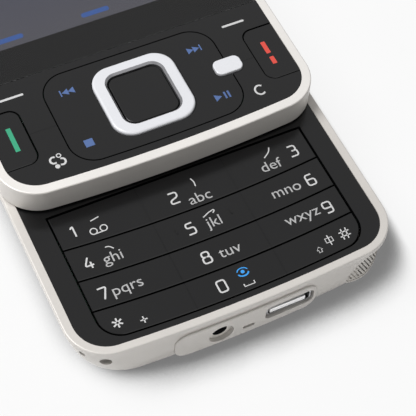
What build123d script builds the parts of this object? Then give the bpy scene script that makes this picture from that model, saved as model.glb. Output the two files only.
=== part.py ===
"""Slider phone, standing open on its back: a base half with the number keys and a sliding half with the display.

Millimetres. +X is to the user's right, +Y towards the display end and +Z out of the front. The back lies on
z = 0, and the origin is under the middle of the opened phone.
"""

import os
from math import cos, radians, sin, sqrt

from build123d import *

os.makedirs("parts", exist_ok=True)

# ---------------------------------------------------------------- driving dimensions
WIDTH = 55.0  # over the lips of both halves
LENGTH = 103.0  # of the closed phone
TRAVEL = 27.4  # of the slide, from closed to open
END_BOW = 290.0  # plan radius of the bowed ends
CORNER = 7.0  # plan radius of the outer corners

BASE_TOP = 12.4  # keypad plane above the back
SLIDE_GAP = 0.3  # between the keypad plane and the sliding half
SLIDER_THICK = 4.9  # of the sliding half, to its black front
FIT = 0.05  # side clearance of a piece that drops into a well
RUN = 0.08  # clearance of the slide
HAIRLINE = 0.03  # between two keys that read as one sheet
PRESS = 0.25  # key travel
DOME_SLACK = 0.01  # between a key pressed home and its dome

# base shell
LIP_PROUD = 0.12
LIP_WIDTH = 1.46
LIP_END_WIDTH = 1.25
LIP_THICK = 1.1
LIP_STEP = 0.45  # how far the lip overhangs the wall
LIP_ROUND = 0.25
WALL = 1.6
BACK_WALL = 1.6
SIDE_TUCK = 9.0  # how far the flanks draw in towards the back
END_TUCK = 5.5
END_CURVE = 6.5  # height below which the ends draw in
FLANK_RUN_ON = 0.25  # the flanks' curve would bottom out this far below the back, so it meets the back at an edge
HULL_LEVELS = (0, 0.035, 0.12, 0.28, 0.5, 0.75, 1)  # shares of the height at which the flanks are drawn
CORNER_SWELL = 0.3  # growth of the corner radius with the tuck
PARTING_Z = 2.6  # between the frame and the rear cover

# keypad
DECK_THICK = 1.3
KEY_FIELD_SIDE = 5.1  # from the base's side to the middle of the outer groove
KEY_FIELD_END = 2.4  # from the base's end to that groove
KEY_FIELD_CORNER = 4.0
KEY_GROOVE = 0.34
ROW_GROOVE = 0.28
ROW_BOW = 240.0
ROW_SHARES = (0.9854, 0.7106, 0.4898, 0.2818)  # where the rows' top grooves lie on the keypad the slide uncovers
COLUMN_X = 7.6  # splits the middle column from the outer ones
KEY_THICK = 1.2
KEY_EDGE = 0.1
BOARD_THICK = 0.8
RIDGE_L = 1.3  # felt marks on the middle key
RIDGE_W = 0.32
RIDGE_T = 0.1
RIDGE_X = 4.75

# sliding half
FRAME_SIDE = 1.55  # width of the light rim
FRAME_END = 1.6
RIM_ROUND = 0.25
WINDOW_THICK = 1.0
MASK_THICK = 0.1
WELL_DEPTH = 1.1
SCREEN_SIDE = 6.1  # from the half's edges to the picture
SCREEN_LOW = 31.05
SCREEN_HEAD = 14.95
RAIL_END = 4.5
RAIL_SHEET = 0.5
CARRIAGE_SIDE = 6.4
CARRIAGE_HEAD = 5.8
CARRIAGE_L = 40.0

# media panel and its keys
PANEL_SIDE = 12.3
PANEL_CORNER = 4.4
PANEL_GAP = 0.22
NAV_W = 14.5
NAV_CORNER = 3.6
NAV_HOLE_W = 9.8
NAV_HOLE_H = 10.4
NAV_HOLE_CORNER = 1.9
NAV_PROUD = 0.45
NAV_ROUND = 0.4
NAV_BEVEL = 0.35
SELECT_GAP = 0.25  # round the select key
MEDIA_KEY_W = 4.85
MEDIA_KEY_H = 3.1
PLUNGER_SLIM_R = 0.7

# ports and rear pieces
PORT_W = 24.6
PORT_DROP = 2.6  # of the plate's top below the keypad plane
PORT_LOW_Z = 3.55
PORT_PROUD = 0.3
CHARGER_X = -4.5
CHARGER_DROP = 6.0
CHARGER_R = 2.1
CHARGER_PIN_R = 1.05
USB_X = 7.4
USB_DROP = 5.5
USB_W = 8.6
USB_H = 3.4
MIC_X = 0.25
MIC_DROP = 6.85
MIC_W = 2.1
MIC_H = 0.75
PORT_FIT = 0.02
HEADSET_X = -8.0
HEADSET_R = 1.8
HEADSET_WALL = 0.8
HEADSET_DEPTH = 14.0
COVER_SIDE = 10.0
COVER_T = 0.85
COVER_SEAT = 1.5  # how far the cover reaches past the battery at each side
BATTERY_GAP = 0.4
CAMERA_R = 5.0
CAMERA_GLASS_R = 6.2
SCREW_R = 0.8
SCREW_X = 15.0

# ---------------------------------------------------------------- derived places
KEY_FIELD_W = WIDTH - 2 * KEY_FIELD_SIDE
PLUNGER_SPREAD = (COLUMN_X + KEY_FIELD_W / 2) / 2
SCREEN_W = WIDTH - 2 * SCREEN_SIDE
SCREEN_H = LENGTH - SCREEN_LOW - SCREEN_HEAD
RAIL_LENGTH = LENGTH - 2 * RAIL_END
CARRIAGE_W = WIDTH - 2 * CARRIAGE_SIDE
PANEL_W = WIDTH - 2 * PANEL_SIDE
COVER_W = WIDTH - 2 * COVER_SIDE
BATTERY_W = COVER_W - 2 * COVER_SEAT
PORT_TOP_Z = BASE_TOP - PORT_DROP
CHARGER_Z = BASE_TOP - CHARGER_DROP
USB_Z = BASE_TOP - USB_DROP
MIC_Z = BASE_TOP - MIC_DROP
BASE_Y = -TRAVEL / 2
SLIDER_Y = TRAVEL / 2
BASE_END_Y = BASE_Y - LENGTH / 2
BASE_HEAD_Y = BASE_Y + LENGTH / 2
SLIDER_END_Y = SLIDER_Y - LENGTH / 2
SLIDER_HEAD_Y = SLIDER_Y + LENGTH / 2
LIP_Z = BASE_TOP + LIP_PROUD - LIP_THICK
DECK_Z = BASE_TOP - DECK_THICK
SLIDER_Z = BASE_TOP + SLIDE_GAP
FASCIA_TOP = SLIDER_Z + SLIDER_THICK
WELL_Z = FASCIA_TOP - WELL_DEPTH
TRAY_RIM = 0.8
TRAY_ROOF_Z = SLIDER_Z + 1.75
TRAY_TOP = TRAY_ROOF_Z + 0.5
KEY_Z = BASE_TOP - KEY_THICK
KEYPAD_BOARD_Z = BASE_TOP - 3.4
DOME_H = 0.35
UI_BOARD_Z = TRAY_TOP + 0.05
UI_BOARD_T = 0.6
MAIN_BOARD_Z = BASE_TOP - 5.45
SIM_T = 0.7
BATTERY_T = MAIN_BOARD_Z - SIM_T - COVER_T - 4 * FIT
HEADSET_Z = MAIN_BOARD_Z + 0.45
ROW_Y = tuple(BASE_END_Y + share * TRAVEL for share in ROW_SHARES)
COVER_TOP_Y = BASE_HEAD_Y - 33.8
CAMERA_Y = BASE_HEAD_Y - 22.8
SCREW_YS = (BASE_HEAD_Y - 30.3, BASE_HEAD_Y - 7.3)
CARRIAGE_Y = BASE_HEAD_Y - CARRIAGE_HEAD - CARRIAGE_L / 2
WINDOW_LOW_Y = SLIDER_END_Y + 23.5  # parting line between window and keys
SCREEN_LOW_Y = SLIDER_END_Y + SCREEN_LOW
PANEL_TOP_Y = SLIDER_END_Y + 21.9
PANEL_LOW_Y = SLIDER_END_Y + 3.05
NAV_Y = SLIDER_END_Y + 12.6
CALL_X = WIDTH / 2 - 7.45
CALL_TOP_Y = SLIDER_END_Y + 18.0
CALL_LOW_Y = SLIDER_END_Y + 6.8
MEDIA_KEY_X = PANEL_W / 2 - 0.1
MEDIA_KEY_Y = NAV_Y - 0.3


def bowed_plate(side_inset, end_inset, corner):
    """Plan outline of a half, moved in at its straight sides and its bowed ends, centred on the origin."""
    half_width = WIDTH / 2 - side_inset
    half_length = LENGTH / 2 - end_inset
    bow = END_BOW - end_inset
    side_end = half_length - bow + sqrt(bow**2 - half_width**2)
    with BuildSketch() as plate:
        with BuildLine():
            Line((half_width, -side_end), (half_width, side_end))
            ThreePointArc((half_width, side_end), (0, half_length), (-half_width, side_end))
            Line((-half_width, side_end), (-half_width, -side_end))
            ThreePointArc((-half_width, -side_end), (0, -half_length), (half_width, -side_end))
        make_face()
        fillet(plate.vertices(), corner)
    return plate.sketch


def drawn_in(z, tuck, height):
    """How far an elliptical flank of the given height has drawn in at z."""
    drop = max(0.0, (height - z) / (height + FLANK_RUN_ON))
    return tuck * (1 - sqrt(1 - drop**2))


def hull(inset, low_z=0.0):
    """Solid of the base below its lip, drawn in towards the back, with all its walls moved in by inset."""
    with BuildPart() as solid:
        for share in HULL_LEVELS:
            z = LIP_Z * share
            side = LIP_STEP + inset + drawn_in(z, SIDE_TUCK, LIP_Z)
            end = LIP_STEP + inset + drawn_in(z, END_TUCK, END_CURVE)
            corner = CORNER - LIP_STEP - inset + CORNER_SWELL * drawn_in(z, SIDE_TUCK, LIP_Z)
            with BuildSketch(Plane((0, BASE_Y, z))):
                add(bowed_plate(side, end, corner))
        loft()
        if low_z > 0:
            split(bisect_by=Plane.XY.offset(low_z), keep=Keep.TOP)
    return solid.part


base_hull = hull(0)
base_cavity = hull(WALL, low_z=BACK_WALL)

# ---------------------------------------------------------------- speaker corner
CORNER_X = WIDTH / 2 - CORNER
CORNER_Y = BASE_END_Y + END_BOW - sqrt((END_BOW - CORNER) ** 2 - CORNER_X**2)
SPEAKER_BEARING = radians(-72)  # the way the opening faces, about the corner
SPEAKER_TILT = radians(27)
SPEAKER_RISE = 7.1  # height of its middle
SPEAKER_L = 9.2
SPEAKER_H = 6.0
BEZEL = 0.4
BEZEL_SET_BACK = 0.3  # behind the wall at the end
GRILLE_SET_BACK = 0.4
GRILLE_BACK = 0.65
SLOT_STEP = 0.58
SLOT_W = 0.24
corner_view = Plane(
    origin=(CORNER_X, CORNER_Y, SPEAKER_RISE),
    x_dir=(
        -sin(SPEAKER_BEARING) * cos(SPEAKER_TILT),
        cos(SPEAKER_BEARING) * cos(SPEAKER_TILT),
        sin(SPEAKER_TILT),
    ),
    z_dir=(cos(SPEAKER_BEARING), sin(SPEAKER_BEARING), 0),
)


def corner_core(set_back):
    """Upright core whose wall lies behind the wall below the lip by the set-back."""
    inset = LIP_STEP + set_back
    with BuildPart() as core:
        with BuildSketch(Plane((0, BASE_Y, PARTING_Z))):
            add(bowed_plate(inset, inset, CORNER - inset))
        extrude(amount=LIP_Z - PARTING_Z)
    return core.part


with BuildPart() as speaker_bezel:
    with BuildSketch(corner_view):
        Ellipse(SPEAKER_L / 2 + BEZEL, SPEAKER_H / 2 + BEZEL)
    extrude(amount=2 * CORNER)
    add(corner_core(BEZEL_SET_BACK), mode=Mode.INTERSECT)

with BuildPart() as speaker_recess:
    with BuildSketch(corner_view):
        Ellipse(SPEAKER_L / 2, SPEAKER_H / 2)
    extrude(amount=2 * CORNER)
    add(corner_core(GRILLE_BACK), mode=Mode.SUBTRACT)

# ---------------------------------------------------------------- base frame
PORT_FACE_Y = BASE_END_Y + LIP_STEP - PORT_PROUD
end_wall = Plane(origin=(0, BASE_END_Y, 0), x_dir=(1, 0, 0), z_dir=(0, -1, 0))
head_wall = Plane(origin=(0, BASE_HEAD_Y, 0), x_dir=(-1, 0, 0), z_dir=(0, 1, 0))
right_wall = Plane(origin=(WIDTH / 2, 0, 0), x_dir=(0, 1, 0), z_dir=(1, 0, 0))
left_wall = Plane(origin=(-WIDTH / 2, 0, 0), x_dir=(0, -1, 0), z_dir=(-1, 0, 0))
PORT_DEPTH = 3.0
PORT_CORNER = 2.3
port_mid_z = (PORT_TOP_Z + PORT_LOW_Z) / 2
port_high = PORT_TOP_Z - PORT_LOW_Z

SIDE_KEY_Z = BASE_TOP - 3.8
SIDE_KEY_H = 1.8
SIDE_KEY_FIT = 0.08
SIDE_FLANGE = 0.5
VOLUME_Y = BASE_HEAD_Y - 22.8
VOLUME_L = 14.0
SHUTTER_Y = BASE_Y - 2.3
SHUTTER_L = 8.0
POWER_X = 11.0
POWER_L = 7.0
DOOR_Y = BASE_Y + 7.7
DOOR_L = 14.0
DOOR_Z = BASE_TOP - 3.7
DOOR_H = 3.4
DOOR_R = 1.2
LANYARD_HOLES = ((212, 9.4, 0.6), (246, 8.9, 0.95))  # bearing about the corner, height, radius

with BuildPart() as base_frame:
    add(base_hull)
    add(speaker_bezel.part)
    with BuildSketch(Plane((0, BASE_Y, LIP_Z))):
        add(bowed_plate(0, 0, CORNER))
    extrude(amount=LIP_THICK)
    fillet(base_frame.faces().sort_by(Axis.Z)[-1].edges(), LIP_ROUND)
    split(bisect_by=Plane.XY.offset(PARTING_Z), keep=Keep.TOP)
    add(base_cavity, mode=Mode.SUBTRACT)
    with BuildSketch(Plane((0, BASE_Y, DECK_Z))):
        add(bowed_plate(LIP_WIDTH, LIP_END_WIDTH, CORNER - LIP_WIDTH))
    extrude(amount=DECK_THICK + LIP_PROUD, mode=Mode.SUBTRACT)
    add(speaker_recess.part, mode=Mode.SUBTRACT)
    with BuildSketch(end_wall):
        with Locations((0, port_mid_z)):
            RectangleRounded(PORT_W + 2 * PORT_FIT, port_high + 2 * PORT_FIT, PORT_CORNER + PORT_FIT)
    extrude(amount=-2 * PORT_DEPTH, mode=Mode.SUBTRACT)
    with BuildSketch(right_wall):
        with Locations((VOLUME_Y, SIDE_KEY_Z)):
            SlotOverall(VOLUME_L + 4 * SIDE_KEY_FIT, SIDE_KEY_H + 2 * SIDE_KEY_FIT)
        with Locations((SHUTTER_Y, SIDE_KEY_Z)):
            SlotOverall(SHUTTER_L + 2 * SIDE_KEY_FIT, SIDE_KEY_H + 2 * SIDE_KEY_FIT)
    extrude(amount=-3 * WALL, mode=Mode.SUBTRACT)
    with BuildSketch(head_wall):
        with Locations((-POWER_X, SIDE_KEY_Z)):
            SlotOverall(POWER_L + 2 * SIDE_KEY_FIT, SIDE_KEY_H + 2 * SIDE_KEY_FIT)
        with Locations((-HEADSET_X, HEADSET_Z)):
            Circle(HEADSET_R + HEADSET_WALL + FIT)
    extrude(amount=-3 * WALL, mode=Mode.SUBTRACT)
    with BuildSketch(left_wall):
        with Locations((-DOOR_Y, DOOR_Z)):
            RectangleRounded(DOOR_L + 2 * FIT, DOOR_H + 2 * FIT, DOOR_R + FIT)
    extrude(amount=-3 * WALL, mode=Mode.SUBTRACT)
    for bearing, height, radius in LANYARD_HOLES:
        outward = Vector(cos(radians(bearing)), sin(radians(bearing)), 0)
        hole_start = Vector(-CORNER_X, CORNER_Y, height) + outward * (CORNER - 3 * WALL)
        with BuildSketch(Plane(origin=hole_start, z_dir=outward)):
            Circle(radius)
        extrude(amount=3 * WALL + 1, mode=Mode.SUBTRACT)
base_frame.part.label = "base_frame"
export_step(base_frame.part, "parts/base_frame.step")

with BuildPart() as speaker_grille:
    with BuildSketch(corner_view):
        Ellipse(SPEAKER_L / 2 - FIT, SPEAKER_H / 2 - FIT)
    extrude(amount=2 * CORNER)
    add(corner_core(GRILLE_SET_BACK), mode=Mode.INTERSECT)
    add(corner_core(GRILLE_BACK), mode=Mode.SUBTRACT)
    with BuildSketch(corner_view):
        with GridLocations(SLOT_STEP, 1, int(SPEAKER_L / SLOT_STEP) - 1, 1):
            Rectangle(SLOT_W, SPEAKER_H)
        Ellipse(SPEAKER_L / 2 - 2 * SLOT_W, SPEAKER_H / 2 - 2 * SLOT_W, mode=Mode.INTERSECT)
    extrude(amount=2 * CORNER, mode=Mode.SUBTRACT)
speaker_grille.part.label = "speaker_grille"
export_step(speaker_grille.part, "parts/speaker_grille.step")

# ---------------------------------------------------------------- bottom end: ports
with BuildPart() as port_plate:
    with BuildSketch(end_wall):
        with Locations((0, port_mid_z)):
            RectangleRounded(PORT_W, port_high, PORT_CORNER)
    extrude(amount=-PORT_DEPTH)
    with BuildSketch(Plane((0, BASE_Y, 0))):
        add(bowed_plate(1, LIP_STEP - PORT_PROUD, CORNER))
    extrude(amount=BASE_TOP, mode=Mode.INTERSECT)
    fillet(port_plate.faces().sort_by(Axis.Y)[0].edges(), 0.25)
    with BuildSketch(end_wall):
        with Locations((CHARGER_X, CHARGER_Z)):
            Circle(CHARGER_R)
        with Locations((USB_X, USB_Z)):
            RectangleRounded(USB_W, USB_H, 1.0)
        with Locations((MIC_X, MIC_Z)):
            SlotOverall(MIC_W, MIC_H)
    extrude(amount=-PORT_DEPTH, mode=Mode.SUBTRACT)
    with Locations(Location((CHARGER_X, PORT_FACE_Y, CHARGER_Z), (90, 0, 0))):
        Cone(CHARGER_R - 0.4, CHARGER_R + 0.35, 0.9, mode=Mode.SUBTRACT)
port_plate.part.label = "port_plate"
export_step(port_plate.part, "parts/port_plate.step")

SOCKET_BACK_Y = BASE_END_Y + 8.9
CHARGER_FACE = 0.75  # below the port plate's face
CHARGER_SINK = 0.4
charger_depth = SOCKET_BACK_Y - PORT_FACE_Y - CHARGER_FACE
with BuildPart() as charger_socket:
    with BuildSketch(Plane(origin=(CHARGER_X, SOCKET_BACK_Y, CHARGER_Z), z_dir=(0, -1, 0))):
        Circle(CHARGER_R - FIT)
    extrude(amount=charger_depth)
    with BuildSketch(Plane(origin=(CHARGER_X, SOCKET_BACK_Y, CHARGER_Z), z_dir=(0, -1, 0))):
        Rectangle(5.0, 5.0)
    extrude(amount=charger_depth - PORT_DEPTH + CHARGER_FACE - FIT)
    with Locations(Location((CHARGER_X, PORT_FACE_Y + CHARGER_FACE, CHARGER_Z), (90, 0, 0))):
        Hole(CHARGER_PIN_R, 6.0)
        Cone(CHARGER_PIN_R, CHARGER_PIN_R + CHARGER_SINK, 2 * CHARGER_SINK, mode=Mode.SUBTRACT)
charger_socket.part.label = "charger_socket"
export_step(charger_socket.part, "parts/charger_socket.step")

USB_SHELL_W = 7.8
USB_SHELL_H = 2.8
USB_SHEET = 0.28
USB_SET_BACK = 0.5
USB_END_WALL = 1.2
USB_TONGUE_W = 6.0
USB_TONGUE_H = 1.0
USB_TONGUE_SHIFT = 0.4
USB_TONGUE_RISE = 0.3
USB_TONGUE_SET_BACK = 0.35
usb_front_y = PORT_FACE_Y + USB_SET_BACK
usb_end = Plane(origin=(USB_X, SOCKET_BACK_Y, USB_Z), x_dir=(1, 0, 0), z_dir=(0, -1, 0))
usb_length = SOCKET_BACK_Y - usb_front_y
with BuildPart() as usb_socket:
    with BuildSketch(usb_end):
        RectangleRounded(USB_SHELL_W, USB_SHELL_H, 0.7)
    extrude(amount=usb_length)
    with BuildSketch(usb_end.offset(USB_END_WALL)):
        RectangleRounded(USB_SHELL_W - 2 * USB_SHEET, USB_SHELL_H - 2 * USB_SHEET, 0.7 - USB_SHEET)
    extrude(amount=usb_length, mode=Mode.SUBTRACT)
    with BuildSketch(usb_end):
        with Locations((-USB_TONGUE_SHIFT, USB_TONGUE_RISE)):
            Rectangle(USB_TONGUE_W, USB_TONGUE_H)
    extrude(amount=usb_length - USB_TONGUE_SET_BACK)
usb_socket.part.label = "usb_socket"
export_step(usb_socket.part, "parts/usb_socket.step")

# ---------------------------------------------------------------- keypad deck
KEY_FIELD_LOW = BASE_END_Y + KEY_FIELD_END
key_field_half = (ROW_Y[0] - KEY_FIELD_LOW) / 2
key_field_y = (ROW_Y[0] + KEY_FIELD_LOW) / 2
POST_R = 1.9


def key_field(grow):
    """Outline of the whole key field: bowed at its low end, square where it runs under the slide."""
    half = KEY_FIELD_W / 2 + grow
    low = KEY_FIELD_LOW - grow
    with BuildSketch() as field:
        with BuildLine():
            Line((half, low + half**2 / (2 * ROW_BOW)), (half, ROW_Y[0] + grow))
            Line((half, ROW_Y[0] + grow), (-half, ROW_Y[0] + grow))
            Line((-half, ROW_Y[0] + grow), (-half, low + half**2 / (2 * ROW_BOW)))
            ThreePointArc(
                (-half, low + half**2 / (2 * ROW_BOW)), (0, low), (half, low + half**2 / (2 * ROW_BOW))
            )
        make_face()
        fillet(field.vertices().group_by(Axis.Y)[0], KEY_FIELD_CORNER + grow)
    return field.sketch


with BuildPart() as keypad_deck:
    with BuildSketch(Plane((0, BASE_Y, DECK_Z))):
        add(bowed_plate(LIP_WIDTH + FIT, LIP_END_WIDTH + FIT, CORNER - LIP_WIDTH - FIT))
    extrude(amount=DECK_THICK)
    with BuildSketch(Plane.XY.offset(DECK_Z)):
        add(key_field(KEY_GROOVE / 2))
    extrude(amount=DECK_THICK, mode=Mode.SUBTRACT)
    with BuildSketch(Plane.XY.offset(BACK_WALL)):
        for post_y in SCREW_YS:
            with Locations((-SCREW_X, post_y), (SCREW_X, post_y)):
                Circle(POST_R)
    extrude(amount=DECK_Z - BACK_WALL)
    with BuildSketch(Plane.XY.offset(BACK_WALL)):
        for post_y in SCREW_YS:
            with Locations((-SCREW_X, post_y), (SCREW_X, post_y)):
                Circle(SCREW_R + 0.04)
    extrude(amount=6.0, mode=Mode.SUBTRACT)
keypad_deck.part.label = "keypad_deck"
export_step(keypad_deck.part, "parts/keypad_deck.step")


# ---------------------------------------------------------------- number keys
def row_band(row):
    """The share of the key field that belongs to one row; its grooves are bowed, but not the topmost edge."""
    top = ROW_Y[row] - ROW_GROOVE / 2
    low = ROW_Y[row + 1] + ROW_GROOVE / 2 if row < 3 else KEY_FIELD_LOW - KEY_FIELD_CORNER
    half = WIDTH / 2
    rise = half**2 / (2 * ROW_BOW)
    top_rise = rise if row else 0
    with BuildSketch() as band:
        with BuildLine():
            if row:
                ThreePointArc((-half, top + top_rise), (0, top), (half, top + top_rise))
            else:
                Line((-half, top), (half, top))
            Line((half, top + top_rise), (half, low + rise))
            ThreePointArc((half, low + rise), (0, low), (-half, low + rise))
            Line((-half, low + rise), (-half, top + top_rise))
        make_face()
    return band.sketch


KEY_NAMES = (
    ("key_1", "key_2", "key_3"),
    ("key_4", "key_5", "key_6"),
    ("key_7", "key_8", "key_9"),
    ("key_star", "key_0", "key_hash"),
)
COLUMN_EDGES = (-WIDTH / 2, -COLUMN_X, COLUMN_X, WIDTH / 2)
PLUNGER_X = (-PLUNGER_SPREAD, 0.0, PLUNGER_SPREAD)
PLUNGER_R = 1.2
plunger_z = KEYPAD_BOARD_Z + BOARD_THICK + DOME_H + PRESS + DOME_SLACK
row_low = ROW_Y[1:] + (KEY_FIELD_LOW,)
plunger_y = [(top + low) / 2 + 0.3 for top, low in zip(ROW_Y, row_low)]

for row, names in enumerate(KEY_NAMES):
    for column, name in enumerate(names):
        column_left = COLUMN_EDGES[column] + HAIRLINE / 2
        column_right = COLUMN_EDGES[column + 1] - HAIRLINE / 2
        with BuildPart() as key:
            with BuildSketch(Plane.XY.offset(KEY_Z)):
                add(key_field(-KEY_GROOVE / 2))
                add(row_band(row), mode=Mode.INTERSECT)
            extrude(amount=KEY_THICK)
            chamfer(key.faces().sort_by(Axis.Z)[-1].edges(), KEY_EDGE)
            with Locations(((column_left + column_right) / 2, key_field_y, BASE_TOP)):
                Box(column_right - column_left, LENGTH, 2 * KEY_THICK, mode=Mode.INTERSECT)
            if name == "key_5":
                with BuildSketch(Plane.XY.offset(BASE_TOP)):
                    with Locations((-RIDGE_X, plunger_y[row]), (RIDGE_X, plunger_y[row])):
                        SlotOverall(RIDGE_L, RIDGE_W, rotation=90)
                extrude(amount=RIDGE_T)
            with BuildSketch(Plane.XY.offset(plunger_z)):
                with Locations((PLUNGER_X[column], plunger_y[row])):
                    Circle(PLUNGER_R)
            extrude(amount=KEY_Z - plunger_z)
        key.part.label = name
        export_step(key.part, f"parts/{name}.step")

with BuildPart() as keypad_board:
    with BuildSketch(Plane.XY.offset(KEYPAD_BOARD_Z)):
        with Locations((0, key_field_y + 0.6)):
            RectangleRounded(KEY_FIELD_W, 2 * key_field_half - 0.6, 6.0)
    extrude(amount=BOARD_THICK)
    for x in PLUNGER_X:
        for y in plunger_y:
            with Locations((x, y, KEYPAD_BOARD_Z + BOARD_THICK)):
                Cone(1.9, 1.3, DOME_H, align=(Align.CENTER, Align.CENTER, Align.MIN))
keypad_board.part.label = "keypad_board"
export_step(keypad_board.part, "parts/keypad_board.step")

# ---------------------------------------------------------------- rear cover and its lid
COVER_SLOPE = 20  # flank of the dovetail, off the vertical
COVER_HOOK_W = 5.0
COVER_HOOK_L = 1.4
COVER_HOOK_Z = 0.35
COVER_HOOK_T = 0.5
BAY_WALL = 1.2
BAY_LOW_Y = BASE_END_Y + 10.0
bay_high_y = COVER_TOP_Y - 8.8
BATTERY_L = bay_high_y - BAY_LOW_Y - BATTERY_GAP
CAMERA_SET_BACK = 0.3
CAMERA_GLASS_T = 0.6
HEAD_R = 1.5
HEAD_T = 0.7
HEAD_DEPTH = 0.3


def cover_dovetail(clearance):
    """Cross-section of the battery cover, wider inside than outside, on a plane that looks along -Y."""
    half = COVER_W / 2 + clearance
    reach = half + (COVER_T + clearance) * sin(radians(COVER_SLOPE))
    with BuildSketch() as section:
        with BuildLine():
            Polyline(
                (-half, 0), (half, 0), (reach, COVER_T + clearance), (-reach, COVER_T + clearance), close=True
            )
        make_face()
    return section.sketch


cover_plane = Plane(origin=(0, COVER_TOP_Y, 0), x_dir=(1, 0, 0), z_dir=(0, -1, 0))
cover_run = COVER_TOP_Y - BASE_END_Y

with BuildPart() as rear_cover:
    add(base_hull)
    split(bisect_by=Plane.XY.offset(PARTING_Z), keep=Keep.BOTTOM)
    add(base_cavity, mode=Mode.SUBTRACT)
    with BuildSketch(Plane.XY.offset(BACK_WALL)):
        with Locations((0, (BAY_LOW_Y + bay_high_y) / 2)):
            Rectangle(BATTERY_W + 2 * BAY_WALL, BATTERY_L + 2 * BAY_WALL)
    extrude(amount=3.0)
    with BuildSketch(cover_plane.offset(-FIT)):
        add(cover_dovetail(FIT))
    extrude(amount=cover_run, mode=Mode.SUBTRACT)
    with BuildSketch(Plane.XY):
        with Locations((0, (BAY_LOW_Y + bay_high_y) / 2)):
            Rectangle(BATTERY_W + BATTERY_GAP, BATTERY_L + BATTERY_GAP)
    extrude(amount=MAIN_BOARD_Z, mode=Mode.SUBTRACT)
    with Locations((0, COVER_TOP_Y, COVER_HOOK_Z - FIT)):
        Box(
            COVER_HOOK_W + 2 * FIT,
            2 * (COVER_HOOK_L + FIT),
            COVER_HOOK_T + 2 * FIT,
            align=(Align.CENTER, Align.CENTER, Align.MIN),
            mode=Mode.SUBTRACT,
        )
    with BuildSketch(Plane.XY):
        with Locations((0, CAMERA_Y)):
            Circle(CAMERA_GLASS_R + FIT)
    extrude(amount=CAMERA_SET_BACK + CAMERA_GLASS_T, mode=Mode.SUBTRACT)
    with BuildSketch(Plane.XY):
        with Locations((0, CAMERA_Y)):
            Circle(CAMERA_R + FIT)
        for y in SCREW_YS:
            with Locations((-SCREW_X, y), (SCREW_X, y)):
                Circle(SCREW_R + FIT)
    extrude(amount=BACK_WALL, mode=Mode.SUBTRACT)
    with BuildSketch(Plane.XY):
        for y in SCREW_YS:
            with Locations((-SCREW_X, y), (SCREW_X, y)):
                Circle(HEAD_R + FIT)
    extrude(amount=HEAD_DEPTH + HEAD_T, mode=Mode.SUBTRACT)
rear_cover.part.label = "rear_cover"
export_step(rear_cover.part, "parts/rear_cover.step")

with BuildPart() as battery_cover:
    with BuildSketch(cover_plane):
        add(cover_dovetail(0))
    extrude(amount=cover_run)
    add(base_hull, mode=Mode.INTERSECT)
    with Locations((0, COVER_TOP_Y, COVER_HOOK_Z)):
        Box(COVER_HOOK_W, 2 * COVER_HOOK_L, COVER_HOOK_T, align=(Align.CENTER, Align.CENTER, Align.MIN))
    with BuildSketch(Plane.XY):
        with Locations((0, COVER_TOP_Y - 6)):
            SlotOverall(12, 2.4)
    extrude(amount=0.3, mode=Mode.SUBTRACT)
battery_cover.part.label = "battery_cover"
export_step(battery_cover.part, "parts/battery_cover.step")

with BuildPart() as battery:
    with Locations((0, (BAY_LOW_Y + bay_high_y) / 2, COVER_T + 2 * FIT)):
        Box(BATTERY_W, BATTERY_L, BATTERY_T, align=(Align.CENTER, Align.CENTER, Align.MIN))
    fillet(battery.edges().filter_by(Axis.Z), 1.5)
battery.part.label = "battery"
export_step(battery.part, "parts/battery.step")

with BuildPart() as base_screws:
    with BuildSketch(Plane.XY.offset(HEAD_DEPTH)):
        for y in SCREW_YS:
            with Locations((-SCREW_X, y), (SCREW_X, y)):
                Circle(HEAD_R)
    extrude(amount=HEAD_T)
    with BuildSketch(Plane.XY.offset(HEAD_DEPTH + HEAD_T)):
        for y in SCREW_YS:
            with Locations((-SCREW_X, y), (SCREW_X, y)):
                Circle(SCREW_R)
    extrude(amount=5.0)
    with BuildSketch(Plane.XY.offset(HEAD_DEPTH)):
        for y in SCREW_YS:
            with Locations((-SCREW_X, y), (SCREW_X, y)):
                RegularPolygon(0.55, 6)
    extrude(amount=0.4, mode=Mode.SUBTRACT)
base_screws.part.label = "base_screws"
export_step(base_screws.part, "parts/base_screws.step")

# ---------------------------------------------------------------- camera
with BuildPart() as camera_window:
    with BuildSketch(Plane.XY.offset(CAMERA_SET_BACK)):
        with Locations((0, CAMERA_Y)):
            Circle(CAMERA_GLASS_R)
    extrude(amount=CAMERA_GLASS_T)
camera_window.part.label = "camera_window"
export_step(camera_window.part, "parts/camera_window.step")

with BuildPart() as camera_module:
    with BuildSketch(Plane.XY.offset(CAMERA_SET_BACK + CAMERA_GLASS_T)):
        with Locations((0, CAMERA_Y)):
            Circle(CAMERA_R)
    extrude(amount=2.0)
    with BuildSketch(Plane.XY.offset(CAMERA_SET_BACK + CAMERA_GLASS_T + 2.0)):
        with Locations((0, CAMERA_Y)):
            RectangleRounded(11.5, 11.5, 1.0)
    extrude(amount=MAIN_BOARD_Z - CAMERA_SET_BACK - CAMERA_GLASS_T - 2.0 - FIT)
    with BuildSketch(Plane.XY.offset(CAMERA_SET_BACK + CAMERA_GLASS_T)):
        with Locations((0, CAMERA_Y)):
            Circle(3.2)
    extrude(amount=0.5, mode=Mode.SUBTRACT)
camera_module.part.label = "camera_module"
export_step(camera_module.part, "parts/camera_module.step")

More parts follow.
